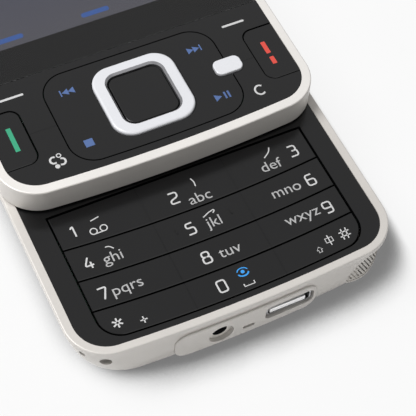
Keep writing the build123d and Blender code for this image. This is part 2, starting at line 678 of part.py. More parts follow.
# ---------------------------------------------------------------- inside the base
SPEAKER_BODY_W = 4.8
SPEAKER_BODY_L = 12.0
SPEAKER_ROUND = 1.2
SPEAKER_LOW_Z = 3.5
SPEAKER_BAY_GAP = 0.2
SPEAKER_WALL_GAP = 0.11926  # to the cavity's rounded corner, at the body's lower face
speaker_side = LIP_STEP + WALL + drawn_in(SPEAKER_LOW_Z, SIDE_TUCK, LIP_Z)
speaker_end = LIP_STEP + WALL + drawn_in(SPEAKER_LOW_Z, END_TUCK, END_CURVE)
cavity_r = CORNER - LIP_STEP - WALL + CORNER_SWELL * drawn_in(SPEAKER_LOW_Z, SIDE_TUCK, LIP_Z)
cavity_x = WIDTH / 2 - speaker_side - cavity_r
cavity_y = BASE_END_Y + END_BOW - sqrt((END_BOW - speaker_end - cavity_r) ** 2 - cavity_x**2)
SPEAKER_X = BATTERY_W / 2 + BAY_WALL + SPEAKER_BAY_GAP + SPEAKER_BODY_W / 2
speaker_reach = cavity_r - SPEAKER_ROUND - SPEAKER_WALL_GAP
speaker_across = SPEAKER_X + SPEAKER_BODY_W / 2 - SPEAKER_ROUND - cavity_x
SPEAKER_Y = cavity_y - sqrt(speaker_reach**2 - speaker_across**2) + SPEAKER_BODY_L / 2 - SPEAKER_ROUND

board_head_y = BASE_HEAD_Y - 4.1
with BuildPart() as main_board:
    with BuildSketch(Plane.XY.offset(MAIN_BOARD_Z)):
        with Locations((0, (SOCKET_BACK_Y + board_head_y) / 2)):
            RectangleRounded(KEY_FIELD_W, board_head_y - SOCKET_BACK_Y, 2.5)
        for y in SCREW_YS:
            with Locations((-SCREW_X, y), (SCREW_X, y)):
                Circle(POST_R + 0.15, mode=Mode.SUBTRACT)
        with Locations((HEADSET_X, board_head_y)):
            Rectangle(7.0, 2 * (HEADSET_DEPTH - 1.0), mode=Mode.SUBTRACT)
    extrude(amount=BOARD_THICK)
    with BuildSketch(Plane.XY.offset(MAIN_BOARD_Z + BOARD_THICK)):
        with Locations((-9, BASE_END_Y + 25.2), (10, BASE_END_Y + 33.2), (0, BASE_END_Y + 51.2)):
            RectangleRounded(14, 10, 0.6)
    extrude(amount=1.2)
main_board.part.label = "main_board"
export_step(main_board.part, "parts/main_board.step")

with BuildPart() as loudspeaker:
    with BuildSketch(Plane.XY.offset(SPEAKER_LOW_Z)):
        with Locations((SPEAKER_X, SPEAKER_Y)):
            RectangleRounded(SPEAKER_BODY_W, SPEAKER_BODY_L, SPEAKER_ROUND)
    extrude(amount=MAIN_BOARD_Z - FIT - SPEAKER_LOW_Z)
loudspeaker.part.label = "loudspeaker"
export_step(loudspeaker.part, "parts/loudspeaker.step")

headset_face = Plane(origin=(HEADSET_X, BASE_HEAD_Y - LIP_STEP - 0.25, HEADSET_Z), z_dir=(0, -1, 0))

with BuildPart() as headset_socket:
    with BuildSketch(headset_face):
        Circle(HEADSET_R + HEADSET_WALL)
    extrude(amount=HEADSET_DEPTH + 1.0)
    with BuildSketch(headset_face.offset(2.15)):
        Rectangle(6.0, 5.2)
    extrude(amount=HEADSET_DEPTH - 2.0)
    with BuildSketch(headset_face):
        Circle(HEADSET_R)
    extrude(amount=HEADSET_DEPTH, mode=Mode.SUBTRACT)
headset_socket.part.label = "headset_socket"
export_step(headset_socket.part, "parts/headset_socket.step")

with BuildPart() as card_socket:
    with Locations((10.3 - WIDTH / 2, DOOR_Y, MAIN_BOARD_Z + BOARD_THICK)):
        Box(12.0, 14.0, 1.3, align=(Align.CENTER, Align.CENTER, Align.MIN))
        with Locations((-1.0, 0, 0.3)):
            Box(12.0, 11.2, 0.75, align=(Align.CENTER, Align.CENTER, Align.MIN), mode=Mode.SUBTRACT)
card_socket.part.label = "card_socket"
export_step(card_socket.part, "parts/card_socket.step")

with BuildPart() as sim_socket:
    with Locations((0, BASE_Y - 16.3, COVER_T + 2 * FIT + BATTERY_T)):
        Box(15.5, 26.0, SIM_T, align=(Align.CENTER, Align.CENTER, Align.MIN))
    chamfer(sim_socket.edges().filter_by(Axis.Z).sort_by(Axis.X)[-1], 2.5)
sim_socket.part.label = "sim_socket"
export_step(sim_socket.part, "parts/sim_socket.step")

# ---------------------------------------------------------------- vibration motor
MOTOR_R = 2.1
MOTOR_L = 7.5
MOTOR_X = 6.0
MOTOR_Y = BASE_HEAD_Y - 7.3
MOTOR_Z = BACK_WALL + MOTOR_R + FIT
SHAFT_R = 0.4
WEIGHT_R = 1.9
WEIGHT_L = 3.0
motor_plane = Plane(origin=(MOTOR_X, MOTOR_Y, MOTOR_Z), x_dir=(0, 1, 0), z_dir=(1, 0, 0))

with BuildPart() as vibration_motor:
    with BuildSketch(motor_plane):
        Circle(MOTOR_R)
    extrude(amount=MOTOR_L / 2, both=True)
    with Locations(Location((MOTOR_X, MOTOR_Y, MOTOR_Z), (0, 90, 0))):
        Hole(SHAFT_R + 0.03, MOTOR_L)
vibration_motor.part.label = "vibration_motor"
export_step(vibration_motor.part, "parts/vibration_motor.step")

with BuildPart() as vibration_weight:
    with BuildSketch(motor_plane.offset(-MOTOR_L / 2 - 0.4 - WEIGHT_L)):
        Circle(WEIGHT_R)
        with Locations((0, WEIGHT_R)):
            Rectangle(2 * WEIGHT_R, 2 * WEIGHT_R - 1.4, mode=Mode.SUBTRACT)
    extrude(amount=WEIGHT_L)
    with BuildSketch(motor_plane.offset(-MOTOR_L / 2 - 0.4 - WEIGHT_L)):
        Circle(SHAFT_R)
    extrude(amount=WEIGHT_L + MOTOR_L)
vibration_weight.part.label = "vibration_weight"
export_step(vibration_weight.part, "parts/vibration_weight.step")

# ---------------------------------------------------------------- side and head keys
SIDE_KEY_PROUD = 0.12  # below the lip's edge
key_inner = 2.8  # from the lip's edge to the inside of the wall


def side_key(plane, along, length, flange):
    """Pill key standing in a wall, with a flange inside that keeps it there."""
    with BuildPart() as pill:
        with BuildSketch(plane.offset(-SIDE_KEY_PROUD)):
            with Locations((along, SIDE_KEY_Z)):
                SlotOverall(length, SIDE_KEY_H)
        extrude(amount=-key_inner)
        fillet(pill.faces().sort_by(Axis(plane.origin, plane.z_dir))[-1].edges(), 0.25)
        with BuildSketch(plane.offset(-SIDE_KEY_PROUD - key_inner)):
            with Locations((along, SIDE_KEY_Z)):
                SlotOverall(length + 2 * flange, SIDE_KEY_H + 2 * flange)
        extrude(amount=-0.5)
    return pill.part


with BuildPart() as volume_rocker:
    add(side_key(right_wall, VOLUME_Y, VOLUME_L, SIDE_FLANGE))
volume_rocker.part.label = "volume_rocker"
export_step(volume_rocker.part, "parts/volume_rocker.step")

with BuildPart() as camera_key:
    add(side_key(right_wall, SHUTTER_Y, SHUTTER_L, SIDE_FLANGE))
camera_key.part.label = "camera_key"
export_step(camera_key.part, "parts/camera_key.step")

with BuildPart() as power_key:
    add(side_key(head_wall, -POWER_X, POWER_L, SIDE_FLANGE))
power_key.part.label = "power_key"
export_step(power_key.part, "parts/power_key.step")

with BuildPart() as card_door:
    add(base_hull)
    with BuildSketch(left_wall):
        with Locations((-DOOR_Y, DOOR_Z)):
            RectangleRounded(DOOR_L, DOOR_H, DOOR_R)
    extrude(amount=-2.4, mode=Mode.INTERSECT)
    with Locations((-WIDTH / 2 + 2.4, DOOR_Y, DOOR_Z)):
        Box(2.4, DOOR_L - 3.0, 1.2)
card_door.part.label = "card_door"
export_step(card_door.part, "parts/card_door.step")

# ---------------------------------------------------------------- slide mechanism
RAIL_OUT = CARRIAGE_W / 2 + RUN + RAIL_SHEET  # outer face of the rail's side walls
rail_top = TRAY_ROOF_Z - FIT
rail_low_y = SLIDER_Y - RAIL_LENGTH / 2
rail_screw_ys = (rail_low_y + 8, rail_low_y + RAIL_LENGTH - 8)
FLANGE_T = 0.5
FLANGE_W = 1.1
carriage_top = rail_top - RAIL_SHEET - RUN
STOP_R = 1.0
STOP_Y = CARRIAGE_Y - 18.0
WINDOW_X = CARRIAGE_W / 2 - 5.6
WINDOW_Y = (CARRIAGE_Y - 16.0, CARRIAGE_Y + 16.5)
SPRING_T = 0.5
SPRING_W = 0.6
SPRING_POST = (3.0 - WINDOW_X, CARRIAGE_Y - 9.0)
SPRING_STUD = (-4.0, CARRIAGE_Y + 13.5)
SPRING_POST_R = 0.7
FLEX_X = 9.5
FLEX_W = 7.0
FLEX_T = 0.15
FLEX_FOLD_Y = CARRIAGE_Y + 12.0
FLEX_ROOT_Y = CARRIAGE_Y - 4.0
FLEX_END_Y = SLIDER_END_Y + 20.3
RAIL_SCREW_X = WIDTH / 2 - 10.5

with BuildPart() as rail_carriage:
    with BuildSketch(Plane((0, CARRIAGE_Y, BASE_TOP))):
        RectangleRounded(CARRIAGE_W - 2 * FLANGE_W, CARRIAGE_L, 1.0)
        with Locations((0, sum(WINDOW_Y) / 2 - CARRIAGE_Y)):
            RectangleRounded(2 * WINDOW_X, WINDOW_Y[1] - WINDOW_Y[0], 1.5, mode=Mode.SUBTRACT)
    extrude(amount=carriage_top - BASE_TOP)
    with BuildSketch(Plane((0, CARRIAGE_Y, carriage_top - FLANGE_T))):
        RectangleRounded(CARRIAGE_W, CARRIAGE_L, 1.0)
        with Locations((0, sum(WINDOW_Y) / 2 - CARRIAGE_Y)):
            RectangleRounded(2 * WINDOW_X, WINDOW_Y[1] - WINDOW_Y[0], 1.5, mode=Mode.SUBTRACT)
    extrude(amount=FLANGE_T)
    with Locations((FLEX_X, CARRIAGE_Y - CARRIAGE_L / 2, carriage_top)):
        Box(
            FLEX_W + 1,
            2 * (WINDOW_Y[0] - CARRIAGE_Y + CARRIAGE_L / 2) + 1,
            1.0,
            align=(Align.CENTER, Align.CENTER, Align.CENTER),
            mode=Mode.SUBTRACT,
        )
    with BuildSketch(Plane.XY.offset(carriage_top)):
        with Locations((0, STOP_Y)):
            Circle(STOP_R)
    extrude(amount=RUN + RAIL_SHEET - FIT)
    with BuildSketch(Plane.XY.offset(BASE_TOP)):
        with Locations(SPRING_POST):
            Circle(SPRING_POST_R)
            Rectangle(2 * (WINDOW_X + SPRING_POST[0]) + 2, 2.2)
    extrude(amount=0.3)
    with BuildSketch(Plane.XY.offset(BASE_TOP)):
        with Locations(SPRING_POST):
            Circle(SPRING_POST_R)
    extrude(amount=1.1)
rail_carriage.part.label = "rail_carriage"
export_step(rail_carriage.part, "parts/rail_carriage.step")

with BuildPart() as slider_rail_plate:
    with BuildSketch(Plane(origin=(0, rail_low_y, 0), x_dir=(-1, 0, 0), z_dir=(0, 1, 0))):
        with BuildLine():
            Polyline(
                (RAIL_OUT, rail_top),
                (RAIL_OUT, SLIDER_Z + FIT),
                (RAIL_OUT - RAIL_SHEET - FLANGE_W + RUN, SLIDER_Z + FIT),
                (RAIL_OUT - RAIL_SHEET - FLANGE_W + RUN, SLIDER_Z + FIT + RAIL_SHEET - 0.1),
                (RAIL_OUT - RAIL_SHEET, SLIDER_Z + FIT + RAIL_SHEET - 0.1),
                (RAIL_OUT - RAIL_SHEET, rail_top - RAIL_SHEET),
                (0, rail_top - RAIL_SHEET),
                (0, rail_top),
                close=True,
            )
        make_face()
        mirror(about=Plane.YZ)
    extrude(amount=RAIL_LENGTH)
    fillet(slider_rail_plate.edges().filter_by(Axis.Y).group_by(Axis.Z)[-1], RAIL_SHEET)
    with BuildSketch(Plane.XY.offset(rail_top - RAIL_SHEET)):
        with Locations((0, STOP_Y + TRAVEL / 2)):
            SlotCenterToCenter(TRAVEL, 2 * (STOP_R + RUN), rotation=90)
        with Locations((FLEX_X, FLEX_END_Y)):
            RectangleRounded(FLEX_W + 1, 3.0, 0.4)
        for y in rail_screw_ys:
            with Locations((-RAIL_SCREW_X, y), (RAIL_SCREW_X, y)):
                Circle(0.75)
    extrude(amount=RAIL_SHEET, mode=Mode.SUBTRACT)
    with BuildSketch(Plane.XY.offset(rail_top - RAIL_SHEET)):
        with Locations(SPRING_STUD):
            Circle(SPRING_POST_R)
    extrude(amount=-1.0)
slider_rail_plate.part.label = "slider_rail_plate"
export_step(slider_rail_plate.part, "parts/slider_rail_plate.step")

spring_z = BASE_TOP + 0.4
with BuildPart() as assist_spring:
    with BuildSketch(Plane.XY.offset(spring_z)):
        with BuildLine():
            FilletPolyline(
                (SPRING_POST[0] + 1.1, SPRING_POST[1]),
                (2.5, CARRIAGE_Y - 5.0),
                (SPRING_POST[0], CARRIAGE_Y + 4.0),
                (SPRING_STUD[0] - 1.1, SPRING_STUD[1]),
                radius=2.2,
            )
        trace(line_width=SPRING_W)
        with Locations(SPRING_POST, SPRING_STUD):
            Circle(SPRING_POST_R + 0.1 + SPRING_W)
            Circle(SPRING_POST_R + 0.1, mode=Mode.SUBTRACT)
    extrude(amount=SPRING_T)
assist_spring.part.label = "assist_spring"
export_step(assist_spring.part, "parts/assist_spring.step")

flex_low = BASE_TOP + 0.03
flex_high = rail_top - RAIL_SHEET - 0.03
flex_r = (flex_high - flex_low - FLEX_T) / 2
flex_mid = (flex_high + flex_low) / 2
with BuildPart() as flex_cable:
    with BuildSketch(Plane(origin=(FLEX_X, 0, 0), x_dir=(0, 1, 0), z_dir=(1, 0, 0))):
        with BuildLine():
            Line((FLEX_ROOT_Y, flex_mid - flex_r), (FLEX_FOLD_Y, flex_mid - flex_r))
            ThreePointArc(
                (FLEX_FOLD_Y, flex_mid - flex_r),
                (FLEX_FOLD_Y + flex_r, flex_mid),
                (FLEX_FOLD_Y, flex_mid + flex_r),
            )
            Line((FLEX_FOLD_Y, flex_mid + flex_r), (FLEX_END_Y, flex_mid + flex_r))
            Line((FLEX_END_Y, flex_mid + flex_r), (FLEX_END_Y, UI_BOARD_Z - FLEX_T / 2 - 0.02))
        trace(line_width=FLEX_T)
    extrude(amount=FLEX_W / 2, both=True)
flex_cable.part.label = "flex_cable"
export_step(flex_cable.part, "parts/flex_cable.step")

# ---------------------------------------------------------------- sliding half: shells
tray_side = FRAME_SIDE + 0.95
tray_end = FRAME_END + 0.95
frame_corner = CORNER - FRAME_SIDE
KEY_SINK = PRESS + 0.1  # the keys' ledge lies this much below the window's

with BuildPart() as slider_frame:
    with BuildSketch(Plane((0, SLIDER_Y, SLIDER_Z))):
        add(bowed_plate(0, 0, CORNER))
    extrude(amount=FASCIA_TOP - SLIDER_Z)
    fillet(slider_frame.faces().sort_by(Axis.Z)[-1].edges(), RIM_ROUND)
    fillet(slider_frame.faces().sort_by(Axis.Z)[0].edges(), 0.3)
    with BuildSketch(Plane((0, SLIDER_Y, WELL_Z))):
        add(bowed_plate(FRAME_SIDE, FRAME_END, frame_corner))
    extrude(amount=WELL_DEPTH, mode=Mode.SUBTRACT)
    with BuildSketch(Plane((0, SLIDER_Y, SLIDER_Z))):
        add(bowed_plate(tray_side, tray_end, CORNER - tray_side))
    extrude(amount=WELL_Z - SLIDER_Z, mode=Mode.SUBTRACT)
    with BuildSketch(Plane((0, SLIDER_Y, SLIDER_Z))):
        add(bowed_plate(FRAME_SIDE, FRAME_END, frame_corner))
    extrude(amount=TRAY_RIM + FIT, mode=Mode.SUBTRACT)
    with BuildSketch(Plane.XY.offset(WELL_Z - KEY_SINK)):
        with Locations((0, SLIDER_Y)):
            add(bowed_plate(FRAME_SIDE, FRAME_END, frame_corner))
        with Locations((0, WINDOW_LOW_Y)):
            Rectangle(WIDTH, LENGTH, align=(Align.CENTER, Align.MAX), mode=Mode.INTERSECT)
    extrude(amount=KEY_SINK, mode=Mode.SUBTRACT)
slider_frame.part.label = "slider_frame"
export_step(slider_frame.part, "parts/slider_frame.step")

with BuildPart() as slider_back:
    with BuildSketch(Plane((0, SLIDER_Y, SLIDER_Z))):
        add(bowed_plate(FRAME_SIDE + FIT, FRAME_END + FIT, frame_corner - FIT))
    extrude(amount=TRAY_RIM)
    with BuildSketch(Plane((0, SLIDER_Y, SLIDER_Z))):
        add(bowed_plate(tray_side + FIT, tray_end + FIT, CORNER - tray_side - FIT))
    extrude(amount=TRAY_TOP - SLIDER_Z)
    with BuildSketch(Plane((0, SLIDER_Y, SLIDER_Z))):
        Rectangle(2 * (RAIL_OUT + FIT), RAIL_LENGTH + 2 * FIT)
    extrude(amount=TRAY_ROOF_Z - SLIDER_Z, mode=Mode.SUBTRACT)
    with BuildSketch(Plane.XY.offset(TRAY_ROOF_Z)):
        with Locations((FLEX_X, FLEX_END_Y)):
            RectangleRounded(FLEX_W + 1, 3.0, 0.4)
        for y in rail_screw_ys:
            with Locations((-RAIL_SCREW_X, y), (RAIL_SCREW_X, y)):
                Circle(0.75)
    extrude(amount=TRAY_TOP - TRAY_ROOF_Z, mode=Mode.SUBTRACT)
slider_back.part.label = "slider_back"
export_step(slider_back.part, "parts/slider_back.step")

with BuildPart() as slider_screws:
    for y in rail_screw_ys:
        with Locations((-RAIL_SCREW_X, y, rail_top - RAIL_SHEET), (RAIL_SCREW_X, y, rail_top - RAIL_SHEET)):
            Cylinder(0.7, TRAY_TOP - rail_top + RAIL_SHEET, align=(Align.CENTER, Align.CENTER, Align.MIN))
slider_screws.part.label = "slider_screws"
export_step(slider_screws.part, "parts/slider_screws.step")


# ---------------------------------------------------------------- sliding half: front
def fascia_field(low_y, high_y):
    """Share of the black front between two heights, with side clearance to the rim."""
    with BuildSketch() as field:
        with Locations((0, SLIDER_Y)):
            add(bowed_plate(FRAME_SIDE + FIT, FRAME_END + FIT, frame_corner - FIT))
        with Locations((0, (low_y + high_y) / 2)):
            Rectangle(WIDTH, high_y - low_y, mode=Mode.INTERSECT)
    return field.sketch


def media_outline(grow):
    """Outline of the media panel: straight on top, bowed below."""
    half = PANEL_W / 2 + grow
    low = PANEL_LOW_Y - grow
    rise = half**2 / (2 * END_BOW)
    with BuildSketch() as panel:
        with BuildLine():
            Line((half, low + rise), (half, PANEL_TOP_Y + grow))
            Line((half, PANEL_TOP_Y + grow), (-half, PANEL_TOP_Y + grow))
            Line((-half, PANEL_TOP_Y + grow), (-half, low + rise))
            ThreePointArc((-half, low + rise), (0, low), (half, low + rise))
        make_face()
        fillet(panel.vertices(), PANEL_CORNER + grow)
    return panel.sketch


def call_outline(side, grow):
    """Outline of the call key (side -1) or end key (side 1), which runs on under the rim."""
    with BuildSketch() as outline:
        with Locations((side * (CALL_X + 10), (CALL_TOP_Y + CALL_LOW_Y) / 2)):
            RectangleRounded(20 + 2 * grow, CALL_TOP_Y - CALL_LOW_Y + 2 * grow, 1.8 + grow)
    return outline.sketch


def media_key_outline(grow):
    """Outline of the raised multimedia key."""
    with BuildSketch() as outline:
        with Locations((MEDIA_KEY_X, MEDIA_KEY_Y)):
            RectangleRounded(MEDIA_KEY_W + 2 * grow, MEDIA_KEY_H + 2 * grow, 1.1 + grow)
    return outline.sketch


EAR_Y = SLIDER_HEAD_Y - 5.9
EAR_W = 8.0
EAR_H = 1.0
EYE_SPOT = (WIDTH / 2 - 12.5, EAR_Y - 1.0)
glass_z = FASCIA_TOP - WINDOW_THICK

with BuildPart() as display_window:
    with BuildSketch(Plane.XY.offset(glass_z)):
        add(fascia_field(WINDOW_LOW_Y + FIT, SLIDER_HEAD_Y))
        with Locations((0, EAR_Y)):
            SlotOverall(EAR_W, EAR_H, mode=Mode.SUBTRACT)
    extrude(amount=WINDOW_THICK)
    chamfer(display_window.faces().sort_by(Axis.Z)[-1].edges(), 0.08)
display_window.part.label = "display_window"
export_step(display_window.part, "parts/display_window.step")

with BuildPart() as window_mask:
    with BuildSketch(Plane.XY.offset(glass_z - MASK_THICK)):
        add(fascia_field(WINDOW_LOW_Y + FIT, SLIDER_HEAD_Y))
        with Locations((0, EAR_Y)):
            SlotOverall(EAR_W, EAR_H, mode=Mode.SUBTRACT)
        with Locations((0, SCREEN_LOW_Y + SCREEN_H / 2)):
            Rectangle(SCREEN_W, SCREEN_H, mode=Mode.SUBTRACT)
        with Locations(EYE_SPOT):
            Circle(1.6, mode=Mode.SUBTRACT)
    extrude(amount=MASK_THICK)
window_mask.part.label = "window_mask"
export_step(window_mask.part, "parts/window_mask.step")

with BuildPart() as lcd_module:
    with Locations((0, SCREEN_LOW_Y + SCREEN_H / 2 - 1.0, TRAY_TOP)):
        Box(SCREEN_W + 2.4, SCREEN_H + 5.0, WELL_Z - TRAY_TOP - FIT, align=(Align.CENTER, Align.CENTER, Align.MIN))
    fillet(lcd_module.edges().filter_by(Axis.Z), 0.8)
lcd_module.part.label = "lcd_module"
export_step(lcd_module.part, "parts/lcd_module.step")

with BuildPart() as earpiece:
    with BuildSketch(Plane.XY.offset(TRAY_TOP)):
        with Locations((0, EAR_Y - 0.5)):
            RectangleRounded(11.0, 4.4, 1.5)
    extrude(amount=WELL_Z - TRAY_TOP - FIT)
earpiece.part.label = "earpiece"
export_step(earpiece.part, "parts/earpiece.step")

with BuildPart() as front_camera:
    with BuildSketch(Plane.XY.offset(TRAY_TOP)):
        with Locations(EYE_SPOT):
            RectangleRounded(5.0, 5.0, 0.8)
    extrude(amount=1.0)
    with BuildSketch(Plane.XY.offset(TRAY_TOP + 1.0)):
        with Locations(EYE_SPOT):
            Circle(1.5)
    extrude(amount=WELL_Z - TRAY_TOP - 1.0)
front_camera.part.label = "front_camera"
export_step(front_camera.part, "parts/front_camera.step")

# ---------------------------------------------------------------- keys of the sliding half
key_low = FASCIA_TOP - WINDOW_THICK
ui_top = UI_BOARD_Z + UI_BOARD_T
press_z = ui_top + DOME_H + PRESS + DOME_SLACK
SOFT_X = WIDTH / 2 - 7.6
SOFT_Y = SLIDER_END_Y + 20.2
MENU_X = WIDTH / 2 - 9.8
MENU_Y = SLIDER_END_Y + 4.9
CALL_DOME_X = WIDTH / 2 - 4.9
PANEL_SPOT = (-(PANEL_W / 2 + NAV_W / 2) / 2 - 0.4, NAV_Y)
call_y = (CALL_TOP_Y + CALL_LOW_Y) / 2

nav_offset = NAV_W / 2 - 0.9
dome_spots = [
    (side * x, y)
    for side in (-1, 1)
    for x, y in ((SOFT_X, SOFT_Y), (MENU_X, MENU_Y), (CALL_DOME_X, call_y), (nav_offset, NAV_Y))
] + [(0, NAV_Y), (0, NAV_Y + nav_offset), (0, NAV_Y - nav_offset), PANEL_SPOT, (MEDIA_KEY_X, MEDIA_KEY_Y)]

with BuildPart() as ui_board:
    with BuildSketch(Plane.XY.offset(UI_BOARD_Z)):
        add(fascia_field(SLIDER_END_Y - 1, WINDOW_LOW_Y - 0.3))
        with Locations((0, SLIDER_Y)):
            add(bowed_plate(tray_side + FIT, tray_end + FIT, CORNER - tray_side - FIT), mode=Mode.INTERSECT)
    extrude(amount=UI_BOARD_T)
    for spot in dome_spots:
        with Locations((*spot, ui_top)):
            Cone(1.1, 0.8, DOME_H, align=(Align.CENTER, Align.CENTER, Align.MIN))
ui_board.part.label = "ui_board"
export_step(ui_board.part, "parts/ui_board.step")

# soft, menu and clear keys share the black field round the media panel
CORNER_KEYS = (
    ("soft_key_left", -1, 1, (-SOFT_X, SOFT_Y)),
    ("soft_key_right", 1, 1, (SOFT_X, SOFT_Y)),
    ("menu_key", -1, -1, (-MENU_X, MENU_Y)),
    ("clear_key", 1, -1, (MENU_X, MENU_Y)),
)
for name, side, level, spot in CORNER_KEYS:
    with BuildPart() as corner_key:
        with BuildSketch(Plane.XY.offset(key_low)):
            add(fascia_field(SLIDER_END_Y - 1, WINDOW_LOW_Y - FIT))
            add(media_outline(PANEL_GAP / 2), mode=Mode.SUBTRACT)
            add(call_outline(side, PANEL_GAP / 2), mode=Mode.SUBTRACT)
            add(media_key_outline(0.1), mode=Mode.SUBTRACT)
            with Locations((side * (WIDTH / 2 + HAIRLINE / 2), MEDIA_KEY_Y + level * (WIDTH / 2 + HAIRLINE / 2))):
                Rectangle(WIDTH, WIDTH, mode=Mode.INTERSECT)
        extrude(amount=WINDOW_THICK)
        with BuildSketch(Plane.XY.offset(press_z)):
            with Locations(spot):
                Circle(PLUNGER_SLIM_R)
        extrude(amount=key_low - press_z)
    corner_key.part.label = name
    export_step(corner_key.part, f"parts/{name}.step")

for name, side in (("call_key", -1), ("end_key", 1)):
    with BuildPart() as call_or_end:
        with BuildSketch(Plane.XY.offset(key_low)):
            add(fascia_field(SLIDER_END_Y - 1, WINDOW_LOW_Y))
            add(call_outline(side, -PANEL_GAP / 2), mode=Mode.INTERSECT)
        extrude(amount=WINDOW_THICK)
        chamfer(call_or_end.faces().sort_by(Axis.Z)[-1].edges(), 0.1)
        with BuildSketch(Plane.XY.offset(press_z)):
            with Locations((side * CALL_DOME_X, call_y)):
                Circle(PLUNGER_SLIM_R)
        extrude(amount=key_low - press_z)
    call_or_end.part.label = name
    export_step(call_or_end.part, f"parts/{name}.step")

with BuildPart() as media_panel:
    with BuildSketch(Plane.XY.offset(key_low)):
        add(media_outline(-PANEL_GAP / 2))
        add(media_key_outline(0.1), mode=Mode.SUBTRACT)
        with Locations((0, NAV_Y)):
            RectangleRounded(NAV_W + 0.3, NAV_W + 0.3, NAV_CORNER + 0.15, mode=Mode.SUBTRACT)
    extrude(amount=WINDOW_THICK)
    with BuildSketch(Plane.XY.offset(press_z)):
        with Locations(PANEL_SPOT):
            Circle(PLUNGER_SLIM_R)
    extrude(amount=key_low - press_z)
media_panel.part.label = "media_panel"
export_step(media_panel.part, "parts/media_panel.step")

with BuildPart() as multimedia_key:
    with BuildSketch(Plane.XY.offset(key_low)):
        add(media_key_outline(0))
    extrude(amount=WINDOW_THICK + NAV_PROUD)
    fillet(multimedia_key.faces().sort_by(Axis.Z)[-1].edges(), NAV_ROUND / 2)
    with BuildSketch(Plane.XY.offset(press_z)):
        with Locations((MEDIA_KEY_X, MEDIA_KEY_Y)):
            Circle(PLUNGER_SLIM_R)
    extrude(amount=key_low - press_z)
multimedia_key.part.label = "multimedia_key"
export_step(multimedia_key.part, "parts/multimedia_key.step")

# ---------------------------------------------------------------- navigation cluster
GIMBAL_Z = FASCIA_TOP - 1.35
GIMBAL_T = 0.35
RING_LOW = GIMBAL_Z + GIMBAL_T / 2 + 0.15

with BuildPart() as nav_carrier:
    with BuildSketch(Plane((0, NAV_Y, GIMBAL_Z - GIMBAL_T / 2))):
        RectangleRounded(11.4, 11.4, 2.4)
        RectangleRounded(NAV_HOLE_W, NAV_HOLE_H, NAV_HOLE_CORNER, mode=Mode.SUBTRACT)
    extrude(amount=GIMBAL_T)
nav_carrier.part.label = "nav_carrier"
export_step(nav_carrier.part, "parts/nav_carrier.step")

with BuildPart() as nav_ring:
    with BuildSketch(Plane((0, NAV_Y, RING_LOW))):
        RectangleRounded(NAV_W, NAV_W, NAV_CORNER)
        RectangleRounded(NAV_HOLE_W, NAV_HOLE_H, NAV_HOLE_CORNER, mode=Mode.SUBTRACT)
    extrude(amount=FASCIA_TOP + NAV_PROUD - RING_LOW)
    outer_edges = nav_ring.faces().sort_by(Axis.Z)[-1].outer_wire().edges()
    fillet(outer_edges, NAV_ROUND)
    inner_edges = nav_ring.faces().sort_by(Axis.Z)[-1].inner_wires()[0].edges()
    chamfer(inner_edges, NAV_BEVEL)
nav_ring.part.label = "nav_ring"
export_step(nav_ring.part, "parts/nav_ring.step")

with BuildPart() as select_key:
    with BuildSketch(Plane((0, NAV_Y, key_low))):
        RectangleRounded(
            NAV_HOLE_W - 2 * SELECT_GAP, NAV_HOLE_H - 2 * SELECT_GAP, NAV_HOLE_CORNER - SELECT_GAP
        )
    extrude(amount=WINDOW_THICK)
    fillet(select_key.faces().sort_by(Axis.Z)[-1].edges(), 0.2)
    with BuildSketch(Plane.XY.offset(press_z)):
        with Locations((0, NAV_Y)):
            Circle(0.9)
    extrude(amount=key_low - press_z)
select_key.part.label = "select_key"
export_step(select_key.part, "parts/select_key.step")
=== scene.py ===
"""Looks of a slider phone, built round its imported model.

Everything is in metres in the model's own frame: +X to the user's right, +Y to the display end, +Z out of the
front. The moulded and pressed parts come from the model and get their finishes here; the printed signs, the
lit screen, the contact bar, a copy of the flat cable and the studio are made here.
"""

import logging
import math
from collections.abc import Callable, Sequence
from dataclasses import dataclass, field
from enum import Enum

import bpy
from mathutils import Matrix, Vector


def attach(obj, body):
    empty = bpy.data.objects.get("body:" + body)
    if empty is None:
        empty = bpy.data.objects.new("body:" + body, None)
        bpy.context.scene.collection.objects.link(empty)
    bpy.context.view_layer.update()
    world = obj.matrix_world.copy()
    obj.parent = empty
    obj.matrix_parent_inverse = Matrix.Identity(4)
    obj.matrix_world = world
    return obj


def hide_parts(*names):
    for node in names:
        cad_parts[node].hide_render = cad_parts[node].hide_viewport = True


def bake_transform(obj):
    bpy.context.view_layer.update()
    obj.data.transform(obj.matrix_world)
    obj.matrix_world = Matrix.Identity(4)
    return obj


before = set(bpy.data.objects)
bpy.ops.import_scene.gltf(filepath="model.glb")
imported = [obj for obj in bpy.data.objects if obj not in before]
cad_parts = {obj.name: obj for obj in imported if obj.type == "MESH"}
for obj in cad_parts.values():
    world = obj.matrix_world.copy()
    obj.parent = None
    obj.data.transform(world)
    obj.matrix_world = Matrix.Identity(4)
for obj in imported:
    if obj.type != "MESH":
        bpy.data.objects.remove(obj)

MM = 0.001
Place = tuple[float, float]  # x and y in millimetres
LOG = logging.getLogger("slider_phone")

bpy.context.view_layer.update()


# ------------------------------------------------------------------ finishes
class Grain(Enum):
    """How a finish varies over its surface."""

    SPARKLE = "sparkle"
    SATIN = "satin"
    MOULDED = "moulded"
    ROLLED = "rolled"
    PRINTED = "printed"
    CLEAR = "clear"


@dataclass(frozen=True)
class GrainScale:
    """Sizes and strengths of one grain. A share is of the finish's own value."""

    cells_per_m: float
    colour_share: float
    rough_share: float
    bump_share: float
    bump_m: float
    stretch: tuple[float, float, float] = (1.0, 1.0, 1.0)


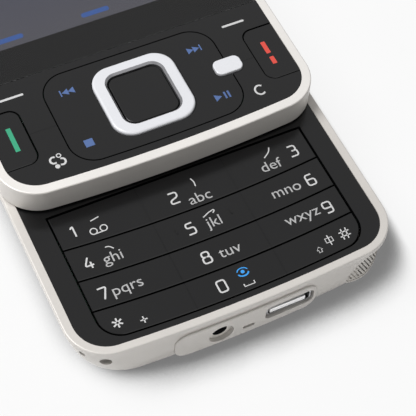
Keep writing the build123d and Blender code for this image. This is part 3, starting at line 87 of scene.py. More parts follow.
GRAINS = {
    Grain.SPARKLE: GrainScale(9000, 0.05, 0.10, 0.25, 4e-6),
    Grain.SATIN: GrainScale(6000, 0.08, 0.08, 0.15, 3e-6),
    Grain.MOULDED: GrainScale(4200, 0.12, 0.12, 0.5, 9e-6),
    Grain.ROLLED: GrainScale(2600, 0.08, 0.15, 0.3, 5e-6, (1.0, 0.03, 1.0)),
    Grain.PRINTED: GrainScale(7000, 0.05, 0.05, 0.2, 2e-6),
    Grain.CLEAR: GrainScale(1500, 0.01, 0.05, 0.02, 1e-6),
}


MADE: dict[str, bpy.types.Material] = {}  # each finish's material, by the finish's name
NOISE_SPAN = (0.3, 0.7)  # where nearly all of a noise's values lie
BROAD_SHARE = 0.35  # of a grain's slow drift against its fine cells
BROAD_CELL = 60  # size of the drift in fine cells
FINE_DETAIL, BROAD_DETAIL = 3.0, 2.0  # octaves of the two noises


def linear(red: float, green: float, blue: float) -> tuple[float, float, float, float]:
    """Turn a colour written as 0 to 255 display values into Blender's linear values.

    Args:
        red, green, blue: display values.

    Returns:
        The colour with an alpha of 1.
    """

    def channel(value: float) -> float:
        """Undo the display curve of one channel."""
        share = value / 255
        return share / 12.92 if share <= 0.04045 else ((share + 0.055) / 1.055) ** 2.4

    return (channel(red), channel(green), channel(blue), 1.0)


@dataclass(frozen=True)
class Finish:
    """One procedural surface finish."""

    name: str
    rgb: tuple[float, float, float]
    roughness: float
    metallic: float = 0.0
    specular: float = 0.5
    coat: float = 0.0
    coat_roughness: float = 0.1
    grain: Grain = Grain.SATIN
    clear: float = 0.0
    glow: float = 0.0

    def material(self) -> bpy.types.Material:
        """Build the finish once and return it.

        Returns:
            The material, made on the first call.
        """
        if self.name in MADE:
            return MADE[self.name]
        made = MADE[self.name] = bpy.data.materials.new(f"finish_{self.name}")
        made.use_nodes = True
        nodes, links = made.node_tree.nodes, made.node_tree.links
        shader = nodes["Principled BSDF"]
        shader.inputs["Metallic"].default_value = self.metallic
        shader.inputs["Specular IOR Level"].default_value = self.specular
        shader.inputs["Coat Weight"].default_value = self.coat
        shader.inputs["Coat Roughness"].default_value = self.coat_roughness
        if self.glow:
            shader.inputs["Emission Color"].default_value = linear(*self.rgb)
            shader.inputs["Emission Strength"].default_value = self.glow
        self._weave(nodes, links, shader)
        if self.clear:
            self._see_through(nodes, links, shader)
        return made

    def _see_through(
        self, nodes: bpy.types.Nodes, links: bpy.types.NodeLinks, shader: bpy.types.ShaderNode
    ) -> None:
        """Let most of the light straight through, so the sheet works as a thin pane.

        Args:
            nodes: the material's nodes.
            links: the material's links.
            shader: its Principled BSDF, which keeps the reflections.
        """
        straight = nodes.new("ShaderNodeBsdfTransparent")
        pane = nodes.new("ShaderNodeMixShader")
        pane.inputs["Fac"].default_value = self.clear
        links.new(shader.outputs["BSDF"], pane.inputs[1])
        links.new(straight.outputs["BSDF"], pane.inputs[2])
        links.new(pane.outputs["Shader"], nodes["Material Output"].inputs["Surface"])

    def _weave(self, nodes: bpy.types.Nodes, links: bpy.types.NodeLinks, shader: bpy.types.ShaderNode) -> None:
        """Drive colour, roughness and bump from the finish's grain.

        Args:
            nodes: the material's nodes.
            links: the material's links.
            shader: its Principled BSDF.
        """
        grain = GRAINS[self.grain]
        place = nodes.new("ShaderNodeTexCoord")
        mapping = nodes.new("ShaderNodeMapping")
        mapping.inputs["Scale"].default_value = grain.stretch
        fine = nodes.new("ShaderNodeTexNoise")
        fine.inputs["Scale"].default_value = grain.cells_per_m
        fine.inputs["Detail"].default_value = FINE_DETAIL
        broad = nodes.new("ShaderNodeTexNoise")
        broad.inputs["Scale"].default_value = grain.cells_per_m / BROAD_CELL
        broad.inputs["Detail"].default_value = BROAD_DETAIL
        links.new(place.outputs["Object"], mapping.inputs["Vector"])
        links.new(mapping.outputs["Vector"], fine.inputs["Vector"])
        links.new(place.outputs["Object"], broad.inputs["Vector"])

        both = nodes.new("ShaderNodeMix")
        both.data_type = "FLOAT"
        both.inputs["Factor"].default_value = BROAD_SHARE
        links.new(fine.outputs["Fac"], both.inputs[2])
        links.new(broad.outputs["Fac"], both.inputs[3])

        tone = nodes.new("ShaderNodeValToRGB")
        base = linear(*self.rgb)
        darker = [channel * (1 - grain.colour_share) for channel in base[:3]] + [1.0]
        lighter = [min(1.0, channel * (1 + grain.colour_share)) for channel in base[:3]] + [1.0]
        for stop, position, colour in zip(tone.color_ramp.elements, NOISE_SPAN, (darker, lighter)):
            stop.position, stop.color = position, colour
        links.new(both.outputs[0], tone.inputs["Fac"])
        links.new(tone.outputs["Color"], shader.inputs["Base Color"])

        sheen = nodes.new("ShaderNodeMapRange")
        sheen.inputs["From Min"].default_value, sheen.inputs["From Max"].default_value = NOISE_SPAN
        sheen.inputs["To Min"].default_value = self.roughness * (1 - grain.rough_share)
        sheen.inputs["To Max"].default_value = min(1.0, self.roughness * (1 + grain.rough_share))
        links.new(both.outputs[0], sheen.inputs["Value"])
        links.new(sheen.outputs["Result"], shader.inputs["Roughness"])

        bump = nodes.new("ShaderNodeBump")
        bump.inputs["Strength"].default_value = grain.bump_share
        bump.inputs["Distance"].default_value = grain.bump_m
        links.new(fine.outputs["Fac"], bump.inputs["Height"])
        links.new(bump.outputs["Normal"], shader.inputs["Normal"])


# Painted highlight: a lighter copy of the shell's own colour, laid on the up-facing faces of the sliding half's
# lip to stand in for the light they catch.
LIP_PAINTED_HIGHLIGHT = Finish("lip_painted_highlight", (222, 219, 215), 0.32, metallic=0.1, grain=Grain.SPARKLE)
LIGHT_SHELL = Finish("light_shell", (199, 195, 190), 0.36, metallic=0.1, grain=Grain.SPARKLE)
BLACK_PANEL = Finish("black_panel", (12, 12, 13), 0.2, specular=0.29)
BLACK_FRONT = Finish("black_front", (15, 15, 16), 0.22, specular=0.3)
PEARL = Finish("pearl_ring", (216, 217, 221), 0.30, coat=0.3, grain=Grain.SPARKLE)
DARK_SHELL = Finish("dark_shell", (58, 58, 60), 0.5, grain=Grain.MOULDED)
INNER = Finish("inner_plastic", (40, 40, 42), 0.6, grain=Grain.MOULDED)
MESH_BACK = Finish("mesh_back", (104, 102, 99), 0.5, grain=Grain.MOULDED)
SOCKET = Finish("socket_metal", (214, 210, 204), 0.4, metallic=0.2, grain=Grain.ROLLED)
# Painted shade: a darker grey laid on the sloping faces of the navigation ring's inner bevel to stand in for
# the shade on them.
RING_BEVEL_PAINTED_SHADE = Finish("ring_bevel_painted_shade", (128, 128, 131), 0.3, metallic=0.6, grain=Grain.SPARKLE)
BATTERY_WRAP = Finish("battery_wrap", (70, 74, 80), 0.45, grain=Grain.MOULDED)
STEEL = Finish("rolled_steel", (190, 190, 192), 0.28, metallic=1.0, grain=Grain.ROLLED)
# Partly painted highlight: steel whose colour is pushed to near-white, so that the USB contact bar shows a
# glint.
STEEL_WITH_PAINTED_GLINT = Finish("steel_with_painted_glint", (252, 252, 252), 0.3, metallic=0.7, grain=Grain.SATIN)
GRILLE = Finish("grille_metal", (200, 196, 190), 0.36, metallic=0.2, grain=Grain.SPARKLE)
BOARD = Finish("circuit_board", (26, 84, 58), 0.45, grain=Grain.MOULDED)
GLASS = Finish("display_glass", (8, 8, 9), 0.03, specular=0.62, grain=Grain.CLEAR, clear=0.5)
LENS = Finish("camera_glass", (60, 60, 70), 0.04, specular=0.6, coat=0.6)
INK = Finish("white_print", (198, 198, 198), 0.5, grain=Grain.PRINTED)
SOFT_INK = Finish("soft_print", (170, 170, 170), 0.5, grain=Grain.PRINTED)
BLUE_INK = Finish("blue_print", (72, 98, 148), 0.45, grain=Grain.PRINTED)
SKY_INK = Finish("sky_print", (50, 150, 226), 0.45, grain=Grain.PRINTED)
GREEN_INK = Finish("green_print", (40, 150, 112), 0.45, grain=Grain.PRINTED)
RED_INK = Finish("red_print", (208, 70, 58), 0.45, grain=Grain.PRINTED)
SCREEN_BLUE = Finish("screen_blue", (70, 118, 205), 0.4, glow=1.5)
BLACK_MASK = Finish("black_mask", (5, 5, 6), 0.7, specular=0.1, grain=Grain.SATIN)


# ------------------------------------------------------------------ modelling moves
class Bench:
    """Moves with Blender's own tools that the sub-assemblies share."""

    @staticmethod
    def clear() -> None:
        """Deselect everything."""
        if bpy.context.mode != "OBJECT":
            bpy.ops.object.mode_set(mode="OBJECT")
        bpy.ops.object.select_all(action="DESELECT")

    @staticmethod
    def apply(piece: bpy.types.Object) -> None:
        """Put a piece's place, turn and scale into its mesh.

        Args:
            piece: the object to settle at the origin.
        """
        Bench.clear()
        piece.select_set(True)
        bpy.context.view_layer.objects.active = piece
        bpy.ops.object.transform_apply(location=True, rotation=True, scale=True)

    @staticmethod
    def block(middle: tuple[float, float, float], size: tuple[float, float, float]) -> bpy.types.Object:
        """Make a box.

        Args:
            middle: its middle in millimetres.
            size: its sides in millimetres.

        Returns:
            The box, with its place in its mesh.
        """
        Bench.clear()
        bpy.ops.mesh.primitive_cube_add(size=1)
        box = bpy.context.object
        box.scale = [side * MM for side in size]
        box.location = [place * MM for place in middle]
        Bench.apply(box)
        return box

    @staticmethod
    def join(pieces: list[bpy.types.Object]) -> bpy.types.Object:
        """Join meshes into the first of them.

        Args:
            pieces: objects whose places are already in their meshes.

        Returns:
            The joined object.
        """
        Bench.clear()
        for piece in pieces:
            piece.select_set(True)
        bpy.context.view_layer.objects.active = pieces[0]
        if len(pieces) > 1:
            bpy.ops.object.join()
        return bpy.context.view_layer.objects.active

    @staticmethod
    def dress(
        piece: bpy.types.Object, name: str, body: str, material: bpy.types.Material, slot: str | None = None
    ) -> None:
        """Name a finished piece, give it its material and let it ride on its body.

        Args:
            piece: the finished object.
            name: its name in the table of pieces.
            body: the body of the model that carries it.
            material: its finish's material.
            slot: the record's material slot, or None where the record has none for it; not used.
        """
        piece.name = piece.data.name = name
        piece.data.materials.clear()
        piece.data.materials.append(material)
        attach(piece, body)
        LOG.info("made %s on %s", name, body)


FONT_STEPS = 4  # straight runs in a curve of a letter
CORNER_STEPS = 5  # in a bar's rounded corner
LINE_STEPS = 6  # between two points of a line
EDGE_STEPS = 2  # in a line's rounded edge
DOT_SIDES = 20
ARC_STEP = 40  # degrees between an arc's points
RING_POINTS = 8
RUN_SHARE = 0.48  # most of a straight run that one rounded corner takes up
UPRIGHT = 1e-9  # most that an upright edge leans, in metres


@dataclass
class Print:
    """Flat print that lies on a plane surface, a little proud of it. Its sizes are in millimetres."""

    level: float
    proud: float = 0.012
    sunk: float = 0.004
    parts: list[bpy.types.Object] = field(default_factory=list)

    @property
    def thick(self) -> float:
        """How thick the print is."""
        return self.proud + self.sunk

    def text(
        self, words: str, x: float, y: float, size: float, weight: float = 0.0, widen: float = 1.0
    ) -> None:
        """Print letters or figures with their middle at x, y.

        Args:
            words: what is printed.
            x, y: middle of the words in millimetres.
            size: height of the font in millimetres.
            weight: how far the outlines grow, in millimetres.
            widen: stretch along x.
        """
        Bench.clear()
        bpy.ops.object.text_add()
        letters = bpy.context.object
        letters.data.body = words
        letters.data.size = size * MM
        letters.data.align_x = "CENTER"
        letters.data.align_y = "CENTER"
        letters.data.offset = weight * MM
        letters.data.resolution_u = FONT_STEPS
        letters.data.extrude = self.thick / 2 * MM
        bpy.ops.object.convert(target="MESH")
        letters = bpy.context.object
        low = Vector(map(min, zip(*(vertex.co for vertex in letters.data.vertices))))
        high = Vector(map(max, zip(*(vertex.co for vertex in letters.data.vertices))))
        centre = (low + high) / 2
        shift = Matrix.Translation((-centre.x, -centre.y, 0))
        letters.data.transform(Matrix.Diagonal((widen, 1, 1, 1)) @ shift)
        self._place(letters, x, y, 0)

    def bar(
        self, x: float, y: float, width: float, height: float, turn: float = 0.0, round_to: float = 0.0
    ) -> None:
        """Print a bar, with rounded corners if asked.

        Args:
            x, y: middle in millimetres.
            width, height: size in millimetres.
            turn: degrees anticlockwise.
            round_to: radius of the corners in millimetres.
        """
        block = Bench.block((0, 0, 0), (width, height, self.thick))
        if round_to:
            bpy.ops.object.mode_set(mode="EDIT")
            bpy.ops.mesh.select_mode(type="EDGE")
            bpy.ops.mesh.select_all(action="DESELECT")
            bpy.ops.object.mode_set(mode="OBJECT")
            for edge in block.data.edges:
                start, end = (block.data.vertices[index].co for index in edge.vertices)
                edge.select = (start - end).xy.length < UPRIGHT
            bpy.ops.object.mode_set(mode="EDIT")
            bpy.ops.mesh.bevel(offset=round_to * MM, segments=CORNER_STEPS, affect="EDGES", clamp_overlap=True)
            bpy.ops.object.mode_set(mode="OBJECT")
        self._place(block, x, y, turn)

    def wedge(self, x: float, y: float, width: float, height: float, turn: float = 0.0) -> None:
        """Print a triangle that points along +x before it is turned.

        Args:
            x, y: middle of its box in millimetres.
            width, height: size along and across its point.
            turn: degrees anticlockwise.
        """
        Bench.clear()
        bpy.ops.mesh.primitive_cylinder_add(vertices=3, radius=1, depth=1, rotation=(0, 0, -math.pi / 2))
        prism = bpy.context.object
        Bench.apply(prism)
        # a triangle in the unit circle runs from x -0.5 to 1
        prism.data.transform(Matrix.Translation((-0.25, 0, 0)))
        long, high = 1.5, math.sqrt(3)
        prism.scale = (width / long * MM, height / high * MM, self.thick * MM)
        Bench.apply(prism)
        self._place(prism, x, y, turn)

    def stroke(self, points: Sequence[Place], width: float, closed: bool = False, smooth: bool = True) -> None:
        """Print a line of even width through points.

        Args:
            points: places in millimetres.
            width: of the line in millimetres.
            closed: whether the line returns to its start.
            smooth: whether it curves through the points.
        """
        Bench.clear()
        bpy.ops.curve.primitive_bezier_curve_add()
        line = bpy.context.object
        line.data.splines.clear()
        spline = line.data.splines.new("BEZIER")
        spline.bezier_points.add(len(points) - 1)
        for knot, (x, y) in zip(spline.bezier_points, points):
            knot.co = (x * MM, y * MM, 0)
            knot.handle_left_type = knot.handle_right_type = "AUTO" if smooth else "VECTOR"
        spline.use_cyclic_u = closed
        spline.resolution_u = LINE_STEPS
        line.data.dimensions = "3D"
        line.data.bevel_depth = width / 2 * MM
        line.data.bevel_resolution = EDGE_STEPS
        line.data.use_fill_caps = True
        bpy.ops.object.convert(target="MESH")
        line = bpy.context.object
        line.data.transform(Matrix.Diagonal((1, 1, self.thick / width, 1)))
        self._place(line, 0, 0, 0)

    def path(self, points: Sequence[Place], width: float, corner: float, closed: bool = False) -> None:
        """Print a line of straight runs with rounded corners.

        Args:
            points: its corners in millimetres.
            width: of the line.
            corner: radius of the corners, smaller where a run is short.
            closed: whether the line returns to its start.
        """
        knots = [Vector(point) for point in points]
        rounded = []
        for index, knot in enumerate(knots):
            if not closed and index in (0, len(knots) - 1):
                rounded.append(tuple(knot))
                continue
            before, after = knots[index - 1] - knot, knots[(index + 1) % len(knots)] - knot
            reach = min(corner, before.length * RUN_SHARE, after.length * RUN_SHARE)
            start, end = knot + before.normalized() * reach, knot + after.normalized() * reach
            for share in (0, 0.25, 0.5, 0.75, 1):
                rounded.append(tuple(start.lerp(knot, share).lerp(knot.lerp(end, share), share)))
        self.stroke(rounded, width, closed, smooth=False)

    def arc(
        self, x: float, y: float, radius: float, start: float, end: float, width: float, tall: float = 1.0
    ) -> None:
        """Print part of a ring.

        Args:
            x, y: its middle in millimetres.
            radius: of the line's middle.
            start, end: bearings in degrees.
            width: of the line.
            tall: stretch along y.
        """
        closed = abs(end - start) >= 360
        count = RING_POINTS if closed else max(3, round(abs(end - start) / ARC_STEP) + 1)
        shares = [index / (count if closed else count - 1) for index in range(count)]
        bearings = [math.radians(start + (end - start) * share) for share in shares]
        points = [(x + radius * math.cos(b), y + radius * tall * math.sin(b)) for b in bearings]
        self.stroke(points, width, closed)

    def dot(self, x: float, y: float, radius: float) -> None:
        """Print a round dot.

        Args:
            x, y: its middle in millimetres.
            radius: its radius in millimetres.
        """
        Bench.clear()
        bpy.ops.mesh.primitive_cylinder_add(vertices=DOT_SIDES, radius=radius * MM, depth=self.thick * MM)
        self._place(bpy.context.object, x, y, 0)

    def _place(self, part: bpy.types.Object, x: float, y: float, turn: float) -> None:
        """Turn a part about its own middle, lay it on the surface and keep it.

        Args:
            part: the part, in the middle of the plane.
            x, y: where its middle goes, in millimetres.
            turn: degrees anticlockwise.
        """
        middle = self.level + (self.proud - self.sunk) / 2
        part.location = (x * MM, y * MM, middle * MM)
        part.rotation_euler = (0, 0, math.radians(turn))
        Bench.apply(part)
        self.parts.append(part)

    def lay(self, name: str, body: str, ink: Finish, slot: str | None = None) -> None:
        """Join what has been printed into one piece.

        Args:
            name: the piece's name.
            body: the body that carries it.
            ink: its finish.
            slot: the record's material slot, if it has one; passed on, but not used.
        """
        Bench.dress(Bench.join(self.parts), name, body, ink.material(), slot)


# ------------------------------------------------------------------ sub-assemblies
@dataclass
class Shells:
    """Finishes of the parts that come from the model."""

    finishes: dict[Finish, tuple[str, ...]] = field(
        default_factory=lambda: {
            LIGHT_SHELL: (
                "base_frame", "port_plate", "slider_frame", "card_door", "power_key", "volume_rocker",
                "camera_key",
            ),
            BLACK_PANEL: ("keypad_deck", *(f"key_{name}" for name in (*range(10), "star", "hash"))),
            BLACK_FRONT: (
                "soft_key_left", "soft_key_right", "menu_key", "clear_key", "call_key", "end_key",
                "media_panel", "select_key",
            ),
            PEARL: ("nav_ring", "multimedia_key"),
            DARK_SHELL: ("rear_cover", "battery_cover", "slider_back"),
            INNER: (
                "nav_carrier", "headset_socket", "loudspeaker", "earpiece", "camera_module", "front_camera",
                "flex_cable",
            ),
            SOCKET: ("charger_socket",),
            BLACK_MASK: ("window_mask", "lcd_module"),
            BATTERY_WRAP: ("battery",),
            STEEL: (
                "slider_rail_plate", "rail_carriage", "assist_spring", "base_screws", "slider_screws",
                "vibration_motor", "vibration_weight", "card_socket", "sim_socket", "usb_socket",
            ),
            GRILLE: ("speaker_grille",),
            BOARD: ("main_board", "keypad_board", "ui_board"),
            GLASS: ("display_window",),
            LENS: ("camera_window",),
        }
    )

    lip_level: float = 17.0  # only the sliding half's lip faces up above this
    lip_facing: float = 0.9  # least rise of a face that faces up
    ring_y: float = -25.2
    ring_hole: float = 5.6  # from the ring's middle to the outside of its inner bevel
    ring_facing: float = 0.95  # the bevel faces up less than this
    charger: Place = (-4.5, 6.4)  # x and z of the charger's hole
    charger_hole: float = 1.24  # its radius, with a little to spare
    chamber: Place = (20.5, -57.457)  # axis of the round wall behind the grille
    chamber_radius: float = 5.9
    chamber_slack: float = 0.04  # most that a face's middle is off the wall

    def dress(self) -> None:
        """Give every part of the model its finish, and some of its faces a second one; on the sliding half's
        lip that is a painted highlight and on the ring's inner bevel a painted shade.
        """
        for finish, names in self.finishes.items():
            for name in names:
                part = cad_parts[name]
                part.data.materials.clear()
                part.data.materials.append(finish.material())
        # painted highlight on the top of the sliding half's lip
        self._tint("slider_frame", LIP_PAINTED_HIGHLIGHT, self._takes_lip_highlight)
        # painted shade on the ring's inner bevel
        self._tint("nav_ring", RING_BEVEL_PAINTED_SHADE, self._takes_ring_shade)
        self._tint("charger_socket", BLACK_MASK, self._in_charger)
        self._tint("base_frame", MESH_BACK, self._behind_grille)
        LOG.info("dressed %d parts", len(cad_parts))

    def _takes_lip_highlight(self, at: Vector, facing: Vector) -> bool:
        """Whether a face is on top of the sliding half's lip, where the painted highlight goes."""
        return facing.z > self.lip_facing and at.z > self.lip_level

    def _takes_ring_shade(self, at: Vector, facing: Vector) -> bool:
        """Whether a face is on the navigation ring's inner bevel, where the painted shade goes."""
        return max(abs(at.x), abs(at.y - self.ring_y)) < self.ring_hole and facing.z < self.ring_facing

    def _in_charger(self, at: Vector, facing: Vector) -> bool:
        """Whether a face is inside the charger's hole."""
        x, z = self.charger
        return math.hypot(at.x - x, at.z - z) < self.charger_hole

    def _behind_grille(self, at: Vector, facing: Vector) -> bool:
        """Whether a face is on the round wall of the loudspeaker's chamber."""
        x, y = self.chamber
        off_wall = abs(math.hypot(at.x - x, at.y - y) - self.chamber_radius)
        return off_wall < self.chamber_slack and at.x > x and at.y < y

    @staticmethod
    def _tint(name: str, finish: Finish, chosen: Callable[[Vector, Vector], bool]) -> None:
        """Give some faces of a part a second material, which is a finish or painted light depending on the
        part.

        Args:
            name: the part.
            finish: its second material, painted light on the lip and the ring.
            chosen: whether a face takes it, from its middle in millimetres and the way it faces.
        """
        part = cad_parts[name]
        part.data.materials.append(finish.material())
        second = len(part.data.materials) - 1
        for face in part.data.polygons:
            if chosen(part.matrix_world @ face.center / MM, face.normal):
                face.material_index = second


@dataclass
class Contacts:
    """The steel contact bar at the mouth of the USB socket, coloured near-white as a painted glint. Places and
    sizes are in millimetres.
    """

    middle: tuple[float, float, float] = (7.0, -64.55, 7.15)
    size: tuple[float, float, float] = (6.2, 0.7, 0.95)
    rounding: float = 0.1
    rounding_steps: int = 2

    def build(self) -> None:
        """Make the bar with softly rounded edges."""
        bar = Bench.block(self.middle, self.size)
        bpy.ops.object.mode_set(mode="EDIT")
        bpy.ops.mesh.select_all(action="SELECT")
        bpy.ops.mesh.bevel(
            offset=self.rounding * MM, segments=self.rounding_steps, affect="EDGES", clamp_overlap=True
        )
        bpy.ops.object.mode_set(mode="OBJECT")
        Bench.dress(bar, "usb_contact_bar", "base", STEEL_WITH_PAINTED_GLINT.material(), slot="steel")


@dataclass
class Ribbon:
    """The flat cable between the halves, whose upper leg travels with the slide. Sizes are in millimetres."""

    lower_leg: float = 12.58  # top of the leg on the base
    upper_leg: float = 13.72  # underside of the leg on the slide
    weld: float = 0.001  # points closer than this become one

    def build(self) -> None:
        """Copy the cable's mesh, weld its close points and hide the model's cable."""
        Bench.clear()
        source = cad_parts["flex_cable"]
        ribbon = bpy.data.objects.new("ribbon", source.data.copy())
        ribbon.matrix_world = source.matrix_world
        bpy.context.scene.collection.objects.link(ribbon)
        ribbon.select_set(True)
        bpy.context.view_layer.objects.active = ribbon
        bpy.ops.object.mode_set(mode="EDIT")
        bpy.ops.mesh.select_all(action="SELECT")
        bpy.ops.mesh.remove_doubles(threshold=self.weld * MM)
        bpy.ops.object.mode_set(mode="OBJECT")
        ribbon.data.name = ribbon.name
        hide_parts("flex_cable")
        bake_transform(ribbon)
        LOG.info("made %s between base and slider", ribbon.name)


# Each figure's lines: corners in half widths and half heights from its middle, then whether the line closes.
FIGURES = {
    "0": (((-1, 1), (1, 1), (1, -1), (-1, -1), True),),
    "1": (((-0.45, 0.55), (0.25, 1), (0.25, -1), False),),
    "2": (((-0.95, 1), (1, 1), (1, 0.1), (-1, -0.35), (-1, -1), (1, -1), False),),
    "3": (
        ((-0.9, 1), (0.9, 1), (0.9, 0.05), (-0.3, 0.05), False),
        ((0.1, 0.05), (1, 0.05), (1, -1), (-1, -1), False),
    ),
    "4": (((0.2, 1), (-1.05, -0.45), (1.05, -0.45), False), ((0.45, 0.15), (0.45, -1), False)),
    "5": (((0.85, 1), (-0.85, 1), (-0.85, 0.15), (1, 0.15), (1, -1), (-0.95, -1), False),),
    "6": (((0.7, 1), (-1, 1), (-1, -1), (1, -1), (1, 0.1), (-0.95, 0.1), False),),
    "7": (((-1, 1), (1.05, 1), (-0.25, -1), False),),
    "8": (
        ((-0.85, 1), (0.85, 1), (0.85, 0.08), (-0.85, 0.08), True),
        ((-1, 0.08), (1, 0.08), (1, -1), (-1, -1), True),
    ),
    "9": (((-0.7, -1), (1, -1), (1, 1), (-1, 1), (-1, -0.1), (0.95, -0.1), False),),
}


@dataclass
class NumberKeys:
    """Print on the twelve number keys. Places and sizes are in millimetres."""

    level: float = 12.4
    figure_wide: float = 1.36
    figure_tall: float = 2.05
    figure_line: float = 0.30
    figure_corner: float = 0.42
    letter_size: float = 2.7
    letter_weight: float = -0.004
    letter_widen: float = 1.08
    sign_line: float = 0.2
    figures: tuple[tuple[str, str, float, float], ...] = (
        ("1", "key_1", -19.5, -42.1), ("2", "key_2", -2.5, -42.7), ("3", "key_3", 19.2, -42.1),
        ("4", "key_4", -19.5, -48.35), ("5", "key_5", -2.5, -49.0), ("6", "key_6", 19.2, -48.35),
        ("7", "key_7", -19.5, -54.2), ("8", "key_8", -2.5, -54.8), ("9", "key_9", 19.2, -54.2),
        ("0", "key_0", -2.5, -60.4),
    )
    letters: dict[str, tuple[str, float, float]] = field(
        default_factory=lambda: {
            "key_2": ("abc", 1.4, -44.1), "key_3": ("def", 14.7, -43.15), "key_4": ("ghi", -15.7, -49.0),
            "key_5": ("jkl", 1.4, -49.5), "key_6": ("mno", 14.7, -48.7), "key_7": ("pqrs", -15.7, -55.0),
            "key_8": ("tuv", 1.4, -55.15), "key_9": ("wxyz", 14.7, -54.5),
        }
    )
    tones: dict[str, tuple[Place, ...]] = field(
        default_factory=lambda: {
            "key_1": ((-16.3, -41.35), (-14.8, -41.05)),
            "key_2": ((1.5, -40.3), (1.75, -41.2), (1.65, -42.0)),
            "key_3": ((14.3, -41.5), (15.5, -40.6), (15.9, -39.9)),
            "key_4": ((-16.1, -46.7), (-15.5, -46.8), (-14.9, -47.4)),
            "key_5": ((0.2, -47.9), (1.9, -47.25), (2.35, -47.25), (2.0, -47.75)),
        }
    )

    def build(self) -> None:
        """Print each key's figure and signs as one piece, and its softer letters as another."""
        for figure, key, x, y in self.figures:
            sheet = Print(self.level)
            for *corners, closed in FIGURES[figure]:
                places = [(x + u * self.figure_wide / 2, y + v * self.figure_tall / 2) for u, v in corners]
                sheet.path(places, self.figure_line, self.figure_corner, closed)
            if key in self.letters:
                self._letters(key)
            if key in self.tones:
                sheet.stroke(self.tones[key], self.sign_line)
            if key == "key_1":
                self._message_sign(sheet)
            if key == "key_0":
                self._space_sign(sheet)
            sheet.lay(f"print_{key}", key, INK)
        self._service_sign()
        self._star()
        self._hash()

    def _letters(self, key: str) -> None:
        """Print a key's letters.

        Args:
            key: the key.
        """
        words, x, y = self.letters[key]
        sheet = Print(self.level)
        sheet.text(words, x, y, self.letter_size, self.letter_weight, self.letter_widen)
        sheet.lay(f"letters_{key}", key, SOFT_INK)

    def _message_sign(self, sheet: Print) -> None:
        """Print the message sign: two rings on a line.

        Args:
            sheet: the print it joins.
        """
        y, radius = -43.3, 0.55
        places = [(x, y - radius) for x in (-16.55, -14.85)]
        for x, _ in places:
            sheet.arc(x, y, radius, 0, 360, self.sign_line)
        sheet.stroke(places, self.sign_line, smooth=False)

    def _space_sign(self, sheet: Print) -> None:
        """Print the space sign: a flat line with turned-up ends.

        Args:
            sheet: the print it joins.
        """
        sheet.stroke([(0.7, -61.4), (0.7, -61.9), (2.4, -61.9), (2.4, -61.4)], 0.22, smooth=False)

    def _service_sign(self) -> None:
        """Print a plain blue sign beside the zero: a ring open at its sides, round a dot."""
        sheet, x, y = Print(self.level), 1.5, -59.4
        for start, end, width in ((200, 340, 0.28), (20, 160, self.sign_line)):
            sheet.arc(x, y, 0.95, start, end, width, tall=0.75)
        sheet.dot(x, y + 0.05, 0.32)
        sheet.lay("print_service", "key_0", SKY_INK)

    def _star(self) -> None:
        """Print the star and plus signs."""
        sheet = Print(self.level)
        for turn in (0, 60, 120):
            sheet.bar(-19.6, -59.7, 0.26, 1.7, turn=turn)
        for width, height in ((1.15, self.sign_line), (self.sign_line, 1.15)):
            sheet.bar(-15.75, -60.8, width, height)
        sheet.lay("print_key_star", "key_star", INK)

    def _hash(self) -> None:
        """Print the hash, a box with a line through it and a shift arrow."""
        sheet, x, y = Print(self.level), 19.3, -59.65
        for shift in (-0.384, 0.384):
            sheet.bar(x + shift, y, self.sign_line, 2.0, turn=-8)
            sheet.bar(x, y + shift, 1.8, self.sign_line)
        box = [(15.9, -60.1), (15.9, -59.3), (17.1, -59.3), (17.1, -60.1)]
        sheet.stroke(box, 0.18, closed=True, smooth=False)
        sheet.bar(16.5, -59.75, 0.18, 1.9)
        arrow = [
            (14.3, -60.2), (13.8, -60.75), (14.05, -60.75), (14.05, -61.2), (14.55, -61.2), (14.55, -60.75),
            (14.8, -60.75),
        ]
        sheet.stroke(arrow, 0.14, closed=True, smooth=False)
        sheet.lay("print_key_hash", "key_hash", INK)


